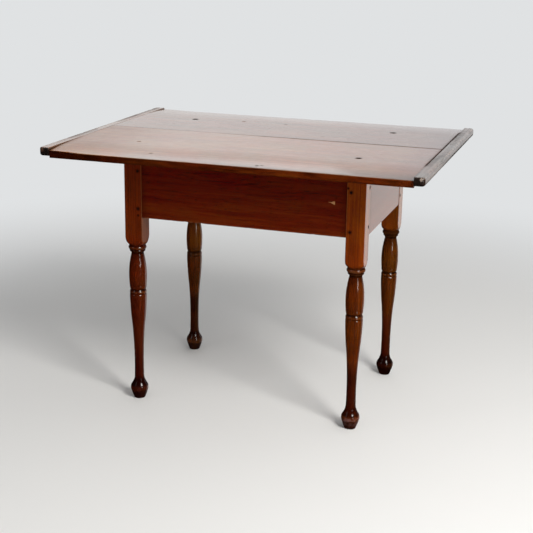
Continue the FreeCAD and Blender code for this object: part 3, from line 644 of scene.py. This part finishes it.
def front_chip(w, spot):
    """Where the varnish has flaked off the front apron: a spot the size of a pea with a slender tail."""
    place = w.split(spot)
    ragged = w.times(w.minus(w.noise(spot, 420.0, 2.0), 0.5), 0.003)
    along = w.math("DIVIDE", w.minus(place["X"], 0.2105), 0.0165)
    half_height = w.ramp(along, 0.35, 1.0, 0.0008, 0.0046)
    axis = w.plus(w.times(along, -0.0012), 0.5585)
    off = w.plus(w.math("ABSOLUTE", w.minus(place["Z"], axis)), ragged)
    body = w.ramp(w.math("DIVIDE", off, half_height), 0.6, 1.1, 1.0, 0.0)
    ends = w.times(w.ramp(along, 0.0, 0.08), w.ramp(along, 0.96, 1.05, 1.0, 0.0))
    front = w.ramp(place["Y"], -0.2105, -0.2095, 1.0, 0.0)
    return w.times(w.times(body, ends), front)


LEVEL_X = (0, math.radians(90), 0)
LEVEL_Y = (math.radians(90), 0, 0)
APRON_LIGHT, APRON_DARK = (0.120, 0.0130, 0.0002), (0.093, 0.0006, 0.0001)
APRON_RUBBED = (0.43, 0.20, 0.085)
RAW_LIGHT, RAW_DARK = (0.24, 0.14, 0.075), (0.10, 0.05, 0.025)
raw_long = raw_wood("raw_apron_long", (0.0, 0.03, -0.42), LEVEL_X, RAW_LIGHT, RAW_DARK)
raw_short = raw_wood("raw_apron_short", (0.03, 0.0, -0.42), LEVEL_Y, RAW_LIGHT, RAW_DARK)
APRONS = (
    ("apron_front", LONG_SPAN, 0, (0, APRON_REVEAL - LEG_FACE_Y), LEVEL_X, (-0.615, 0.285, 0.1), front_chip),
    ("apron_right", SHORT_SPAN, 90, (LEG_FACE_X - APRON_REVEAL, 0), LEVEL_Y, (-0.37, 0.53, 0.62), None),
    ("apron_back", LONG_SPAN, 180, (0, LEG_FACE_Y - APRON_REVEAL), LEVEL_X, (-0.52, -0.29, 0.4), None),
    ("apron_left", SHORT_SPAN, 270, (APRON_REVEAL - LEG_FACE_X, 0), LEVEL_Y, (0.37, 0.60, 0.9), None),
)
for seed, (name, span, degrees, move, level, pith, chip) in enumerate(APRONS, start=1):
    apron_wood = varnished_wood(
        name + "_wood", pith, level, 0.0026, 0.05, APRON_LIGHT, APRON_DARK, APRON_RUBBED,
        contrast=1.05, gloss=0.34, bump=0.2, flake=chip)
    raw, joint_dirt = (raw_long, 1.0) if level == LEVEL_X else (raw_short, 0.3)
    plane_apron(name, span, apron_wood, raw, seed, joint_dirt, math.radians(degrees), move)


# ----------------------------------------------------------------------
# Pegs of the apron joints. Whittled from riven wood to eight uneven sides and driven through leg and
# tenon. Their end grain has drunk the varnish and gone almost black.

def whittle_peg(bm, width, length, head, aim, seed):
    """One peg from its head along aim, a little crooked, with a rounded head."""
    made = bmesh.ops.create_cone(bm, cap_ends=True, segments=8, radius1=width / 2, radius2=width / 2 * 0.94,
                                 depth=length)
    verts = made["verts"]
    top = [e for e in bm.edges if e.verts[0] in verts and all(v.co.z < -length / 2 + 1e-6 for v in e.verts)]
    rounded = round_over(bm, top, width * 0.13, 2)
    verts = list(dict.fromkeys([v for v in verts if v.is_valid] + rounded["verts"]))
    for v in verts:
        side = math.atan2(v.co.y, v.co.x)
        wobble = noise.noise(Vector((math.cos(side) * 2 + seed * 5, math.sin(side) * 2, seed)))
        uneven = 1 - 0.05 * (1 + wobble)
        v.co.x *= uneven
        v.co.y *= uneven
        if v.co.z < -length / 2 + width * 0.05:
            slope = noise.noise(Vector((v.co.x * 260, v.co.y * 260, seed * 2.3)))
            v.co.z += 0.00018 * (1 + slope)
    bmesh.ops.translate(bm, vec=(0, 0, length / 2), verts=verts)
    way = Vector((0, 0, 1)).rotation_difference(Vector(aim)).to_matrix()
    bmesh.ops.rotate(bm, cent=(0, 0, 0), matrix=way, verts=verts)
    bmesh.ops.translate(bm, vec=head, verts=verts)


def peg_wood(name, face, side, gloss, coat=0.0):
    """End grain on the heads: close dark dots, with a lighter ring or two."""
    material, shader, w, spot = new_material(name)
    dots = w.noise(spot, 1400.0, 2.0, 0.6)
    cloud = w.noise(spot, 260.0, 3.0, 0.6)
    wood = w.mix(w.ramp(dots, 0.35, 0.7), (*face, 1), (*side, 1))
    wood = w.mix(w.ramp(cloud, 0.4, 0.7, 0.0, 0.6), wood, (face[0] * 2.2, face[1] * 2.0, face[2] * 1.8, 1))
    w.feed(shader, {
        "Base Color": wood, "Roughness": w.ramp(cloud, 0.2, 0.8, gloss, gloss + 0.25),
        "Normal": w.bump(dots, 0.5, 0.0005), "Specular IOR Level": 0.05,
        "Coat Weight": coat, "Coat Roughness": VARNISH_ROUGHNESS, "Coat IOR": VARNISH_IOR})
    return material


joint_peg_wood = peg_wood("joint_peg_wood", (0.009, 0.0016, 0.0006), (0.004, 0.001, 0.0005), 0.5)
PEG_PROUD = 0.0004
HEAD_X, HEAD_Y = LEG_FACE_X + PEG_PROUD, LEG_FACE_Y + PEG_PROUD
JOINT_PEG_WIDE, JOINT_PEG_LONG = 0.0075, 0.029
PEG_CREASE = 30


def drive_pegs(name, x, y, drop, aim, seed):
    """The two pegs of one apron joint."""
    bm = bmesh.new()
    for number, height in enumerate(PEG_HEIGHTS):
        whittle_peg(bm, JOINT_PEG_WIDE, JOINT_PEG_LONG, (x, y, height - drop), aim, number + seed)
    new_piece(name, bm, [joint_peg_wood], PEG_CREASE)


for end, way in (("front", -1), ("back", 1)):
    for side, across in (("left", -1), ("right", 1)):
        drive_pegs("pegs_apron_%s_%s" % (end, side), PEG_X * across, HEAD_Y * way,
                   PEG_STEP if way * across < 0 else 0.0, (0, -way, 0), 2 * across + 5 * way)
for side, across in (("left", -1), ("right", 1)):
    for end, way in (("front", -1), ("back", 1)):
        drive_pegs("pegs_apron_%s_%s" % (side, end), HEAD_X * across, PEG_Y * way, 0.0,
                   (-across, 0, 0), 3 * across + 7 * way)


# ----------------------------------------------------------------------
# Top boards. Two wide boards of the same wood, planed slim. They lie flat over the frame and have
# cupped down at their free edges. The seam between them has opened; its tongue keeps it dark.

TOP = 0.660
THICK = 0.016
BOARD_X = 0.4305
SEAM_Y = 0.003
BOARD_Y = 0.339
FLAT_Y = LEG_FACE_Y
BOARD_STEP = 0.0042
TONGUE_STOP, TONGUE_REACH = 0.2005, 0.010
TONGUE_LOW, TONGUE_HIGH = TOP - 0.011, TOP - 0.005
SEAM_LOW, SEAM_HIGH = TOP - 0.0105, TOP - 0.0055
BORE_RADIUS, BORE_SIDES = 0.0051, 24
REACH_ROUND_BORE = 0.0085


def droop(y, fall):
    """How far the board has come down at a place beyond the frame."""
    beyond = abs(y) - FLAT_Y
    if beyond <= 0:
        return 0.0
    run = BOARD_Y - FLAT_Y
    radius = (run * run + fall * fall) / (2 * fall)
    return radius - math.sqrt(radius * radius - beyond * beyond)


def joint_gap(y):
    """How far the joint with the right breadboard end stands open there, 0 to 1."""
    return smooth_step(-0.232, -0.200, y) * (1 - smooth_step(0.25, 0.28, y))


def bore(bm, x, y):
    """A round hole right through a board: the faces round it give way to a ring and a wall."""
    bm.normal_update()
    near = [f for f in bm.faces if abs(f.normal.z) > 0.9
            and abs(f.calc_center_median().x - x) < REACH_ROUND_BORE
            and abs(f.calc_center_median().y - y) < REACH_ROUND_BORE]
    rims = []
    for faces in ([f for f in near if f.normal.z > 0], [f for f in near if f.normal.z < 0]):
        inside = set(faces)
        around = dict.fromkeys(e for f in faces for e in f.edges)
        border = [e for e in around if sum(g in inside for g in e.link_faces) == 1]
        height = faces[0].calc_center_median().z
        bmesh.ops.delete(bm, geom=faces, context="FACES")
        made = bmesh.ops.create_circle(bm, cap_ends=False, segments=BORE_SIDES, radius=BORE_RADIUS,
                                       matrix=Matrix.Translation((x, y, height)))
        rim = list(dict.fromkeys(e for v in made["verts"] for e in v.link_edges))
        bmesh.ops.triangle_fill(bm, edges=border + rim, use_beauty=True, use_dissolve=False)
        rims.append(rim)
    bmesh.ops.bridge_loops(bm, edges=rims[0] + rims[1])


def tongue(bm, axis, sign, at, across, low, high, reach):
    """Draws out, or with a negative reach pushes in, the band of one side between two heights."""
    bm.normal_update()
    for height in (low, high):
        bmesh.ops.bisect_plane(bm, geom=bm.verts[:] + bm.edges[:] + bm.faces[:], plane_co=(0, 0, height),
                               plane_no=(0, 0, 1), dist=1e-7)
    other = 1 - axis
    band = []
    for face in bm.faces:
        centre = face.calc_center_median()
        if abs(centre[axis] - at) < 1e-5 and face.normal[axis] * sign > 0.9 and low < centre.z < high:
            if across[0] < centre[other] < across[1]:
                band.append(face)
    out = bmesh.ops.extrude_face_region(bm, geom=band)
    moved = [g for g in out["geom"] if isinstance(g, bmesh.types.BMVert)]
    step = [0, 0, 0]
    step[axis] = reach * sign
    bmesh.ops.translate(bm, vec=step, verts=moved)
    bmesh.ops.delete(bm, geom=[f for f in band if f.is_valid], context="FACES")


def lay_board(name, near_y, far_y, fall, seam_reach, bores, wood, shaded_edge_wood, seed):
    """Drawn flat between two edges, then cupped. near_y is at the seam, far_y the free edge."""
    bm = bmesh.new()
    grime_and_shade, thin_and_lit, dull, edge, painted_sheen = float_layers(bm, "grime_and_shade", "thin_and_lit", "dull", "edge", "painted_sheen")
    box_between(bm, (-BOARD_X, min(near_y, far_y), TOP - THICK), (BOARD_X, max(near_y, far_y), TOP))
    bm.normal_update()
    rails = [(e, e.verts[0].co.y, e.verts[0].co.z > TOP - MM) for e in lengthwise(bm, 0)]
    free_top = [e for e, y, above in rails if abs(y - far_y) < 1e-6 and above]
    free_low = [e for e, y, above in rails if abs(y - far_y) < 1e-6 and not above]
    seam_top = [e for e, y, above in rails if abs(y - near_y) < 1e-6 and above]
    round_over(bm, free_top, 0.0015)
    round_over(bm, free_low, 0.0012)
    round_over(bm, seam_top, 0.0006, 2)
    cut_into_steps(bm, 0, BOARD_STEP, 0.1)
    cut_into_steps(bm, 1, BOARD_STEP, 0.1)
    outward = 1 if far_y > near_y else -1
    held_by_end = sorted((near_y, outward * TONGUE_STOP))
    for sign in (1, -1):
        tongue(bm, 0, sign, BOARD_X * sign, held_by_end, TONGUE_LOW, TONGUE_HIGH, TONGUE_REACH)
    tongue(bm, 1, -outward, near_y, (-BOARD_X, BOARD_X), SEAM_LOW, SEAM_HIGH, seam_reach)
    for x, y in bores:
        bore(bm, x, y)
    # The faces of the free edge take a darker copy of the wood: painted shade.
    for face in bm.faces:
        centre = face.calc_center_median()
        if abs(far_y - centre.y) < 0.003 and TOP - THICK + 0.0002 < centre.z < TOP - 0.0006:
            face.material_index = 2
    for v in bm.verts:
        x, y, z = v.co
        spot = Vector((x * 1000, y * 1000, seed * 50))
        from_edge = abs(far_y - y) / MM
        from_seam = abs(near_y - y) / MM
        from_end = (BOARD_X - abs(x)) / MM
        down = (TOP - z) / MM
        # Painted shade: darker sides of the board, and the top darker toward its right-hand end.
        v[edge] = smooth_step(0.05, 1.0, down) if from_edge < 3 else smooth_step(1.0, 3.0, down)
        v[edge] = max(v[edge], 0.35 * smooth_step(0.05, 0.32, x) + 0.35 * smooth_step(0.33, 0.43, x))
        # A pale, bluish tint along the front strip from the middle to the right: a painted reflection.
        sheen_strip = bell(from_edge, 45.0) * (1 - smooth_step(0.1, 1.0, down))
        v[painted_sheen] = sheen_strip * smooth_step(-0.33, -0.15, x) if outward < 0 else 0.0
        seam_dirt = 0.06 + 0.75 * smooth_step(-0.17, 0.08, x)
        open_joint = joint_gap(y) if x > 0 else 0.0
        held = smooth_step(-0.33, -0.43, x) * (1 - down / (THICK / MM))
        left_joint = 0.2 + 0.75 * (1 - smooth_step(-0.22, -0.15, y))
        end_dirt = left_joint if x < 0 else 0.2 + 0.6 * open_joint
        streaky = 0.5 + 0.5 * noise.noise(Vector((x * 22, seed * 5.0, down * 0.35)))
        side = smooth_step(0.2, 1.5, down)
        # The band low on the sides is painted shade under the top; the sides also darken toward the left
        # end.
        v[grime_and_shade] = max(seam_dirt * fade(from_seam, 2.8),
                       end_dirt * fade(from_end, 2.6 if x > 0 or y > -0.15 else 5.0),
                       0.5 * smooth_step(10, 16, down),
                       0.7 * bell(from_edge, 3.5) if outward > 0 else 0.0,
                       0.8 * side * smooth_step(0.30, 0.75, streaky - x * 0.35),
                       0.95 * side * smooth_step(-0.12, -0.32, x))
        v[dull] = 0.25 * smooth_step(-0.2, -0.4, x) if outward < 0 and down < 0.1 else 0.0
        # The lighter golden patch along the front edge is a painted highlight.
        if outward < 0 and from_edge < 4:
            along = math.exp(-((x - 0.150) / 0.026) ** 4) + 0.45 * bell(x - 0.06, 0.02)
            v[thin_and_lit] = 1.3 * along * bell(down - 10, 5.0) + 0.25
        nibble = smooth_step(0.12, 0.55, noise.noise(Vector((x * 38, seed * 9.0, down * 0.1))))
        if from_edge < 6:
            soft = bell(from_edge, 2.5)
            v.co.y -= outward * (0.15 + 0.8 * nibble) * MM * soft
            v.co.z -= (0.1 + 0.35 * nibble) * MM * soft * bell(down, 3)
        if down < 0.05:
            worn = 0.10 * (1 + noise.noise(Vector((x * 4, y * 16, seed * 7.0))))
            v.co.z -= worn * MM
            if from_end < 0.1:
                v.co.x -= 0.9 * MM * open_joint
        if from_seam < 1.5 and down < 1.5:
            v.co.y += outward * MM * 0.8 * smooth_step(-0.17, 0.08, x) * (1 - down / 1.5)
        if abs(v.co.y) < BOARD_Y + 0.001:
            v.co.z -= droop(y, fall * (1 - 0.28 * held))
    for face in bm.faces:
        if face.normal.z < -0.97:
            face.material_index = 1
    new_piece(name, bm, [wood, raw_boards, shaded_edge_wood])


# Rubbed wood, then the painted shade of the boards' sides and of the top's right-hand end, then the tint of
# a painted reflection on the front strip.
TOP_RUBBED, TOP_SHADE_TONE, TOP_SHEEN_TINT = (0.42, 0.21, 0.10), (0.25, 0.080, 0.010), (0.60, 0.85, 1.7)
SEAM_GAP = 0.0003
FRONT_BORES = ((-0.272, -0.1845), (0.272, -0.1845))
BACK_BORES = ((-0.272, 0.1845), (0.272, 0.1845), (-0.139, 0.2012))
raw_boards = raw_wood("raw_boards", (0.0, 0.06, -0.58), LEVEL_X, (0.27, 0.16, 0.09), (0.12, 0.06, 0.03))

# Dirt round the pegs and in old holes: its place, radius and strength.
FRONT_MARKS = (
    (FRONT_BORES[0], 0.0070, 0.15), (FRONT_BORES[1], 0.0085, 1.6), ((0.075, -0.323), 0.0048, 0.8),
    ((0.085, -0.319), 0.0040, 0.7), ((-0.192, -0.295), 0.0050, 0.7), ((0.31, -0.12), 0.0030, 0.5),
    ((-0.05, -0.09), 0.0030, 0.4),
)
BACK_MARKS = (
    (BACK_BORES[0], 0.0095, 1.6), (BACK_BORES[1], 0.0090, 1.6), (BACK_BORES[2], 0.0065, 0.15),
    ((-0.02, 0.197), 0.0060, 0.6), ((0.12, 0.06), 0.0035, 0.5), ((-0.30, 0.10), 0.0030, 0.4),
)

# Each board: which way it lies from the seam, the fall of its free edge, its tongue or groove, its holes
# and marks, its pith, its light and dark wood, contrast, gloss, the varnish's IOR and its painted
# reflection's tint.
BOARDS = (
    ("top_board_front", -1, 0.009, 0.006, FRONT_BORES, FRONT_MARKS, (-0.60, 0.19, 0.2),
     (0.43, 0.172, 0.060), (0.21, 0.074, 0.027), 0.85, 0.38, 1.85, TOP_SHEEN_TINT),
    ("top_board_back", 1, 0.005, -0.0072, BACK_BORES, BACK_MARKS, (-0.585, -0.16, 0.7),
     (0.32, 0.122, 0.049), (0.14, 0.050, 0.022), 0.95, 0.36, 1.8, None),
)
for seed, board in enumerate(BOARDS, start=1):
    name, way, fall, seam_reach, bores, spots, pith, *tones, contrast, gloss, ior, sheen = board
    finish = {"contrast": contrast, "gloss": gloss, "bump": 0.18, "edge": TOP_SHADE_TONE, "coat_ior": ior}
    marks = [("XY", *spot) for spot in spots]
    wood = varnished_wood(name + "_wood", pith, LEVEL_X, 0.0060, 0.05, *tones, TOP_RUBBED, glow=0.08,
                          marks=marks, open_grain=0.08, painted_sheen=sheen, **finish)
    # A darker copy of the same wood for the free edge: painted shade.
    shaded_edge_wood = varnished_wood(name + "_edge", pith, LEVEL_X, 0.0060, 0.05, *tones, TOP_RUBBED, **finish)
    lay_board(name, SEAM_Y + SEAM_GAP * way, BOARD_Y * way, fall, seam_reach, bores, wood, shaded_edge_wood, seed)


# ----------------------------------------------------------------------
# Breadboard ends. Two cleats of the same wood that run across the boards and hold their tongues. They
# have stayed straight and full length where the boards have shrunk and cupped, and their tips are
# rubbed round.

END_X = 0.455
END_WIDE = 0.024
END_THICK = 0.020
END_Y = 0.345
TIP_ROUND, FOOT_ROUND = 0.009, 0.0055
GROOVE_ROOM, GROOVE_END_ROOM, GROOVE_DEEPER = 0.00015, 0.0006, 0.0001


def shape_breadboard(name, side, wood, seed, rounding):
    """Drawn as the right end, its inner face at x = 0, and turned half round for the left one."""
    bm = bmesh.new()
    wear, grime_and_shade, bare, edge = float_layers(bm, "wear", "grime_and_shade", "bare", "edge")
    box_between(bm, (0, -END_Y, TOP - END_THICK), (END_WIDE, END_Y, TOP))
    corners = [e for e in lengthwise(bm, 2) if e.verts[0].co.x > 0.01]
    round_over(bm, corners, TIP_ROUND, 5)
    for height, width, segments in ((TOP, rounding, 5), (TOP - END_THICK, FOOT_ROUND, 4)):
        rim = [e for e in bm.edges if all(abs(v.co.z - height) < 1e-6 for v in e.verts)
               and max(v.co.x for v in e.verts) > 1e-4]
        round_over(bm, rim, width, segments)
    cut_into_steps(bm, 1, BOARD_STEP, 0.2)
    cut_into_steps(bm, 0, BOARD_STEP, 0.008)
    bmesh.ops.bisect_plane(bm, geom=bm.verts[:] + bm.edges[:] + bm.faces[:], plane_co=(0.0015, 0, 0),
                           plane_no=(1, 0, 0), dist=1e-7)
    deep, wide = TONGUE_REACH + GROOVE_DEEPER, TONGUE_STOP + GROOVE_END_ROOM
    low, high = TONGUE_LOW - GROOVE_ROOM, TONGUE_HIGH + GROOVE_ROOM
    tongue(bm, 0, -1, 0.0, (-wide, wide), low, high, -deep)
    for v in bm.verts:
        x, y, z = v.co
        # Inside the groove the wood is made fully dark: painted shade.
        if 1e-4 < x < deep + 1e-4 and low - 5e-5 < z < high + 5e-5 and abs(y) < wide + 1e-4:
            v[grime_and_shade] = v[edge] = 1.0
            continue
        spot = Vector((x * 1000 + seed * 61, y * 1000, z * 1000))
        outer = (END_WIDE - x) / MM
        above = (TOP - z) / MM
        to_tip = (END_Y - abs(y)) / MM
        crest = bell(outer + min(above, 20 - above), 7.0)
        v[wear] = (0.28 if side > 0 else 0.1) * crest
        # A spot on the front tip of the right end is bare wood and a painted highlight.
        worn_spot_and_glint = bell(math.hypot(outer - 8.5, (above - 4.5) * 0.8), 3.2)
        # The sides below the top are darker, painted shade; the tips are darker end grain.
        v[edge] = max(smooth_step(1.5, 5.0, above), smooth_step(4.5, 1.5, to_tip)) * (1 - 0.9 * worn_spot_and_glint)
        if side < 0:
            open_joint = 0.0
            blotchy = 0.75 + noise.noise(Vector((y * 9, 2, seed)))
            rim = 0.9 * smooth_step(6.5, 4.3, outer) * blotchy * (1 - 0.6 * smooth_step(0.18, 0.28, y))
            own_dirt_and_shade = max(rim, 0.75 if x < 5e-4 and above > 0.3 else 0.0)
        else:
            open_joint = joint_gap(y)
            # The right end darker low on its sides: painted shade.
            own_dirt_and_shade = smooth_step(11, 15, above) * smooth_step(-0.25, 0.05, y)
        # The band low on the sides is painted shade; the tips and the joints hold dirt.
        v[grime_and_shade] = max((0.15 + 0.7 * open_joint) * fade(x / MM, 1.6), 0.75 * smooth_step(3.5, 1.0, to_tip),
                       0.55 * smooth_step(9, 16, above), own_dirt_and_shade)
        v[bare] = worn_spot_and_glint if side > 0 and y < 0 and to_tip < 5 else 0.0
        nibble = smooth_step(0.10, 0.55, noise.noise(spot * 0.035))
        depth = (0.10 + 0.75 * nibble * max(crest, bell(to_tip, 8))) * MM
        if x > 0.002:
            v.co.x -= depth
        elif above < 0.1:
            v.co.x += MM * (0.2 + 1.3 * open_joint * (0.7 + noise.noise(Vector((y * 14, 3, seed)))))
        if to_tip < 8:
            v.co.y -= math.copysign(depth, y)
        if above < 6 and x > 0.0005:
            v.co.z -= depth * 0.6
    if side < 0:
        bmesh.ops.rotate(bm, cent=(0, 0, 0), matrix=Matrix.Rotation(math.pi, 3, "Z"), verts=bm.verts)
    bmesh.ops.translate(bm, vec=((END_X - END_WIDE) * side, 0, 0), verts=bm.verts)
    new_piece(name, bm, [wood])


# Each end: its side, pith and upper rounding, its light, dark and rubbed wood, the painted shade of its
# sides and how far the open grain breaks the gloss.
ENDS = (
    ("breadboard_left", -1, (0.50, 0.62, 0.2), 0.0040, (0.42, 0.20, 0.10), (0.20, 0.085, 0.045),
     (0.42, 0.30, 0.20), (0.06, 0.05, 0.05), 0.1),
    ("breadboard_right", 1, (-0.49, 0.62, -0.3), 0.0055, (0.19, 0.125, 0.095), (0.045, 0.028, 0.021),
     (0.60, 0.50, 0.42), (0.22, 0.13, 0.10), 0.5),
)
for name, side, pith, rounding, light, dark, rubbed, edge, open_grain in ENDS:
    end_wood = varnished_wood(
        name + "_wood", pith, LEVEL_Y, 0.0030, 0.010, light, dark, rubbed, contrast=1.0, gloss=0.40,
        bump=0.25, glow=0.15, edge=edge, open_grain=open_grain)
    shape_breadboard(name, side, end_wood, 3 + side, rounding)


# ----------------------------------------------------------------------
# Pegs of the top. Five thicker pegs hold the boards down to the legs and the back apron, and eight
# slender ones, driven from below, hold the breadboard ends on their tongues.

sunk_peg_wood = peg_wood("top_peg_wood", (0.024, 0.010, 0.005), (0.008, 0.004, 0.002), 0.75)
flush_peg_wood = peg_wood("flush_peg_wood", (0.24, 0.092, 0.033), (0.14, 0.052, 0.019), 0.4, coat=1.0)
TOP_PEG_WIDE, TOP_PEG_TIP = 0.010, 0.0495
SUNK, FLUSH = (0.0015, sunk_peg_wood), (0.0003, flush_peg_wood)
TOP_PEGS = (
    ("top_peg_front_left", FRONT_BORES[0], FLUSH),
    ("top_peg_front_right", FRONT_BORES[1], SUNK),
    ("top_peg_back_left", BACK_BORES[0], SUNK),
    ("top_peg_back_right", BACK_BORES[1], SUNK),
    ("top_peg_back_apron", BACK_BORES[2], FLUSH),
)
for seed, (name, place, (depth, wood)) in enumerate(TOP_PEGS, start=20):
    bm = bmesh.new()
    whittle_peg(bm, TOP_PEG_WIDE, TOP_PEG_TIP - depth, (*place, TOP - depth), (0, 0, -1), seed)
    new_piece(name, bm, [wood], PEG_CREASE)

END_PEG_X = 0.4355
END_PEG_PLACES = (-0.165, -0.062, 0.068, 0.165)
END_PEG_WIDE, END_PEG_LONG = 0.006, 0.0154
for side, across in (("left", -1), ("right", 1)):
    bm = bmesh.new()
    for seed, y in enumerate(END_PEG_PLACES, start=40):
        foot = (END_PEG_X * across, y, TOP - END_THICK)
        whittle_peg(bm, END_PEG_WIDE, END_PEG_LONG, foot, (0, 0, 1), seed)
    new_piece("breadboard_pegs_" + side, bm, [sunk_peg_wood], PEG_CREASE)


# ----------------------------------------------------------------------
# Studio: a plain pale floor, soft windows right, left and behind, and a low one that puts the small
# highlights on the turnings. The wall behind the table is pale and mirrors in the varnish of the top and
# of the right side; the rest of the room is dark to it.

bm = bmesh.new()
bmesh.ops.create_grid(bm, x_segments=8, y_segments=8, size=14.0)
floor_mesh = bpy.data.meshes.new("studio_floor")
bm.to_mesh(floor_mesh)
bm.free()
floor = bpy.data.objects.new("studio_floor", floor_mesh)
scene = bpy.context.scene
scene.collection.objects.link(floor)
floor_material, floor_shader, w, spot = new_material("studio_floor")
w.feed(floor_shader, {"Base Color": (0.80, 0.80, 0.79, 1), "Roughness": 0.7, "Specular IOR Level": 0.2})
PALE = (0.745, 0.760, 0.770, 1)
seen = w.node("LightPath").outputs["Is Camera Ray"]
from_table = w.node("VectorMath", {0: spot}, operation="LENGTH").outputs["Value"]
far_off = w.times(w.ramp(from_table, 0.9, 2.4), seen)
backdrop = w.node("Emission", {"Color": PALE, "Strength": 1.0}).outputs[0]
ground = w.node("MixShader", {0: far_off, 1: floor_shader.outputs[0], 2: backdrop}).outputs[0]
from_below = w.times(w.node("NewGeometry").outputs["Backfacing"], seen)
ground = w.node("MixShader", {0: from_below, 1: ground, 2: w.node("BsdfTransparent").outputs[0]}).outputs[0]
w.put(ground, floor_material.node_tree.nodes["Material Output"].inputs["Surface"])
floor_mesh.materials.append(floor_material)
floor.visible_glossy = False


def hang_window(name, azimuth, elevation, distance, width, height, power, tint):
    """A soft light that faces the table, set by azimuth and elevation."""
    lamp = bpy.data.lights.new(name, "AREA")
    lamp.shape = "RECTANGLE"
    lamp.size, lamp.size_y = width, height
    lamp.energy, lamp.color = power, tint
    holder = bpy.data.objects.new(name, lamp)
    a, e = math.radians(azimuth), math.radians(elevation)
    back = Vector((math.sin(a) * math.cos(e), -math.cos(a) * math.cos(e), math.sin(e)))
    holder.location = Vector((0, 0, 0.4)) + back * distance
    holder.rotation_mode = "QUATERNION"
    holder.rotation_quaternion = (-back).to_track_quat("-Z", "Y")
    scene.collection.objects.link(holder)


hang_window("window_right", 51, 37, 3.0, 0.9, 1.1, 72, (1.0, 0.98, 0.95))
hang_window("window_low", 51, 0.6, 3.0, 0.30, 0.50, 4, (1.0, 0.98, 0.95))
hang_window("window_left", -42, 24, 3.4, 0.7, 1.6, 5, (1.0, 0.98, 0.96))
hang_window("window_back", 209, 35, 3.4, 1.8, 0.9, 3.6, (0.97, 0.98, 1.0))

world = bpy.data.worlds.new("pale_room")
scene.world = world
world.use_nodes = True
w = Wiring(world.node_tree)
room = world.node_tree.nodes["Background"]
paths = w.node("LightPath").outputs
direction = w.split(w.node("TexCoord").outputs["Generated"])
aside = w.times(w.math("ABSOLUTE", direction["X"]), 0.45)
towards_wall = w.minus(direction["Y"], aside)
high = w.mix(w.ramp(direction["Z"], 0.25, 0.50), (0.94, 0.94, 0.94, 1), (1.0, 1.0, 1.0, 1))
high = w.tint(high, (0.88, 0.89, 0.91), w.ramp(direction["X"], -0.40, -0.12))
wall = w.mix(w.ramp(direction["Z"], -0.28, -0.05), (1.0, 0.90, 0.84, 1), high)
room_side = w.mix(w.ramp(direction["X"], 0.3, 0.9), (0.004, 0.004, 0.004, 1), (0.05, 0.034, 0.012, 1))
wall = w.mix(w.ramp(towards_wall, 0.25, 0.60), room_side, wall)
below = w.ramp(direction["Z"], -0.11, -0.03, 1.0, 0.0)
low_left = w.times(w.ramp(direction["X"], 0.02, 0.11, 1.0, 0.0), below)
wall = w.tint(wall, (0.12, 0.10, 0.09), low_left)
side_light = w.plus(w.times(direction["X"], 0.40), 0.46)
level = w.mix(paths["Is Glossy Ray"], w.grey(side_light), wall)
level = w.mix(paths["Is Camera Ray"], level, PALE)
w.feed(room, {"Color": level, "Strength": 1.0})

scene.view_settings.view_transform = "Standard"

# The camera stands in front of the table, a little to its right and above it.
camera_data = bpy.data.cameras.new("camera")
camera_data.sensor_width = 36.0
camera_data.lens = 77.89
camera = bpy.data.objects.new("camera", camera_data)
scene.collection.objects.link(camera)
stand = (0.87286, -2.70573, 1.15539)
yaw, pitch, roll = 0.313158, 0.284357, 0.016896
level_forward = Vector((-math.sin(yaw), math.cos(yaw), 0))
level_right = Vector((math.cos(yaw), math.sin(yaw), 0))
forward = level_forward * math.cos(pitch) - Vector((0, 0, 1)) * math.sin(pitch)
level_up = Vector((0, 0, 1)) * math.cos(pitch) + level_forward * math.sin(pitch)
right = level_right * math.cos(roll) + level_up * math.sin(roll)
up = level_up * math.cos(roll) - level_right * math.sin(roll)
facing = Matrix((right, up, -forward)).transposed().to_4x4()
camera.matrix_world = Matrix.Translation(stand) @ facing
camera_data.clip_start = 0.05
camera_data.clip_end = 60.0
scene.camera = camera
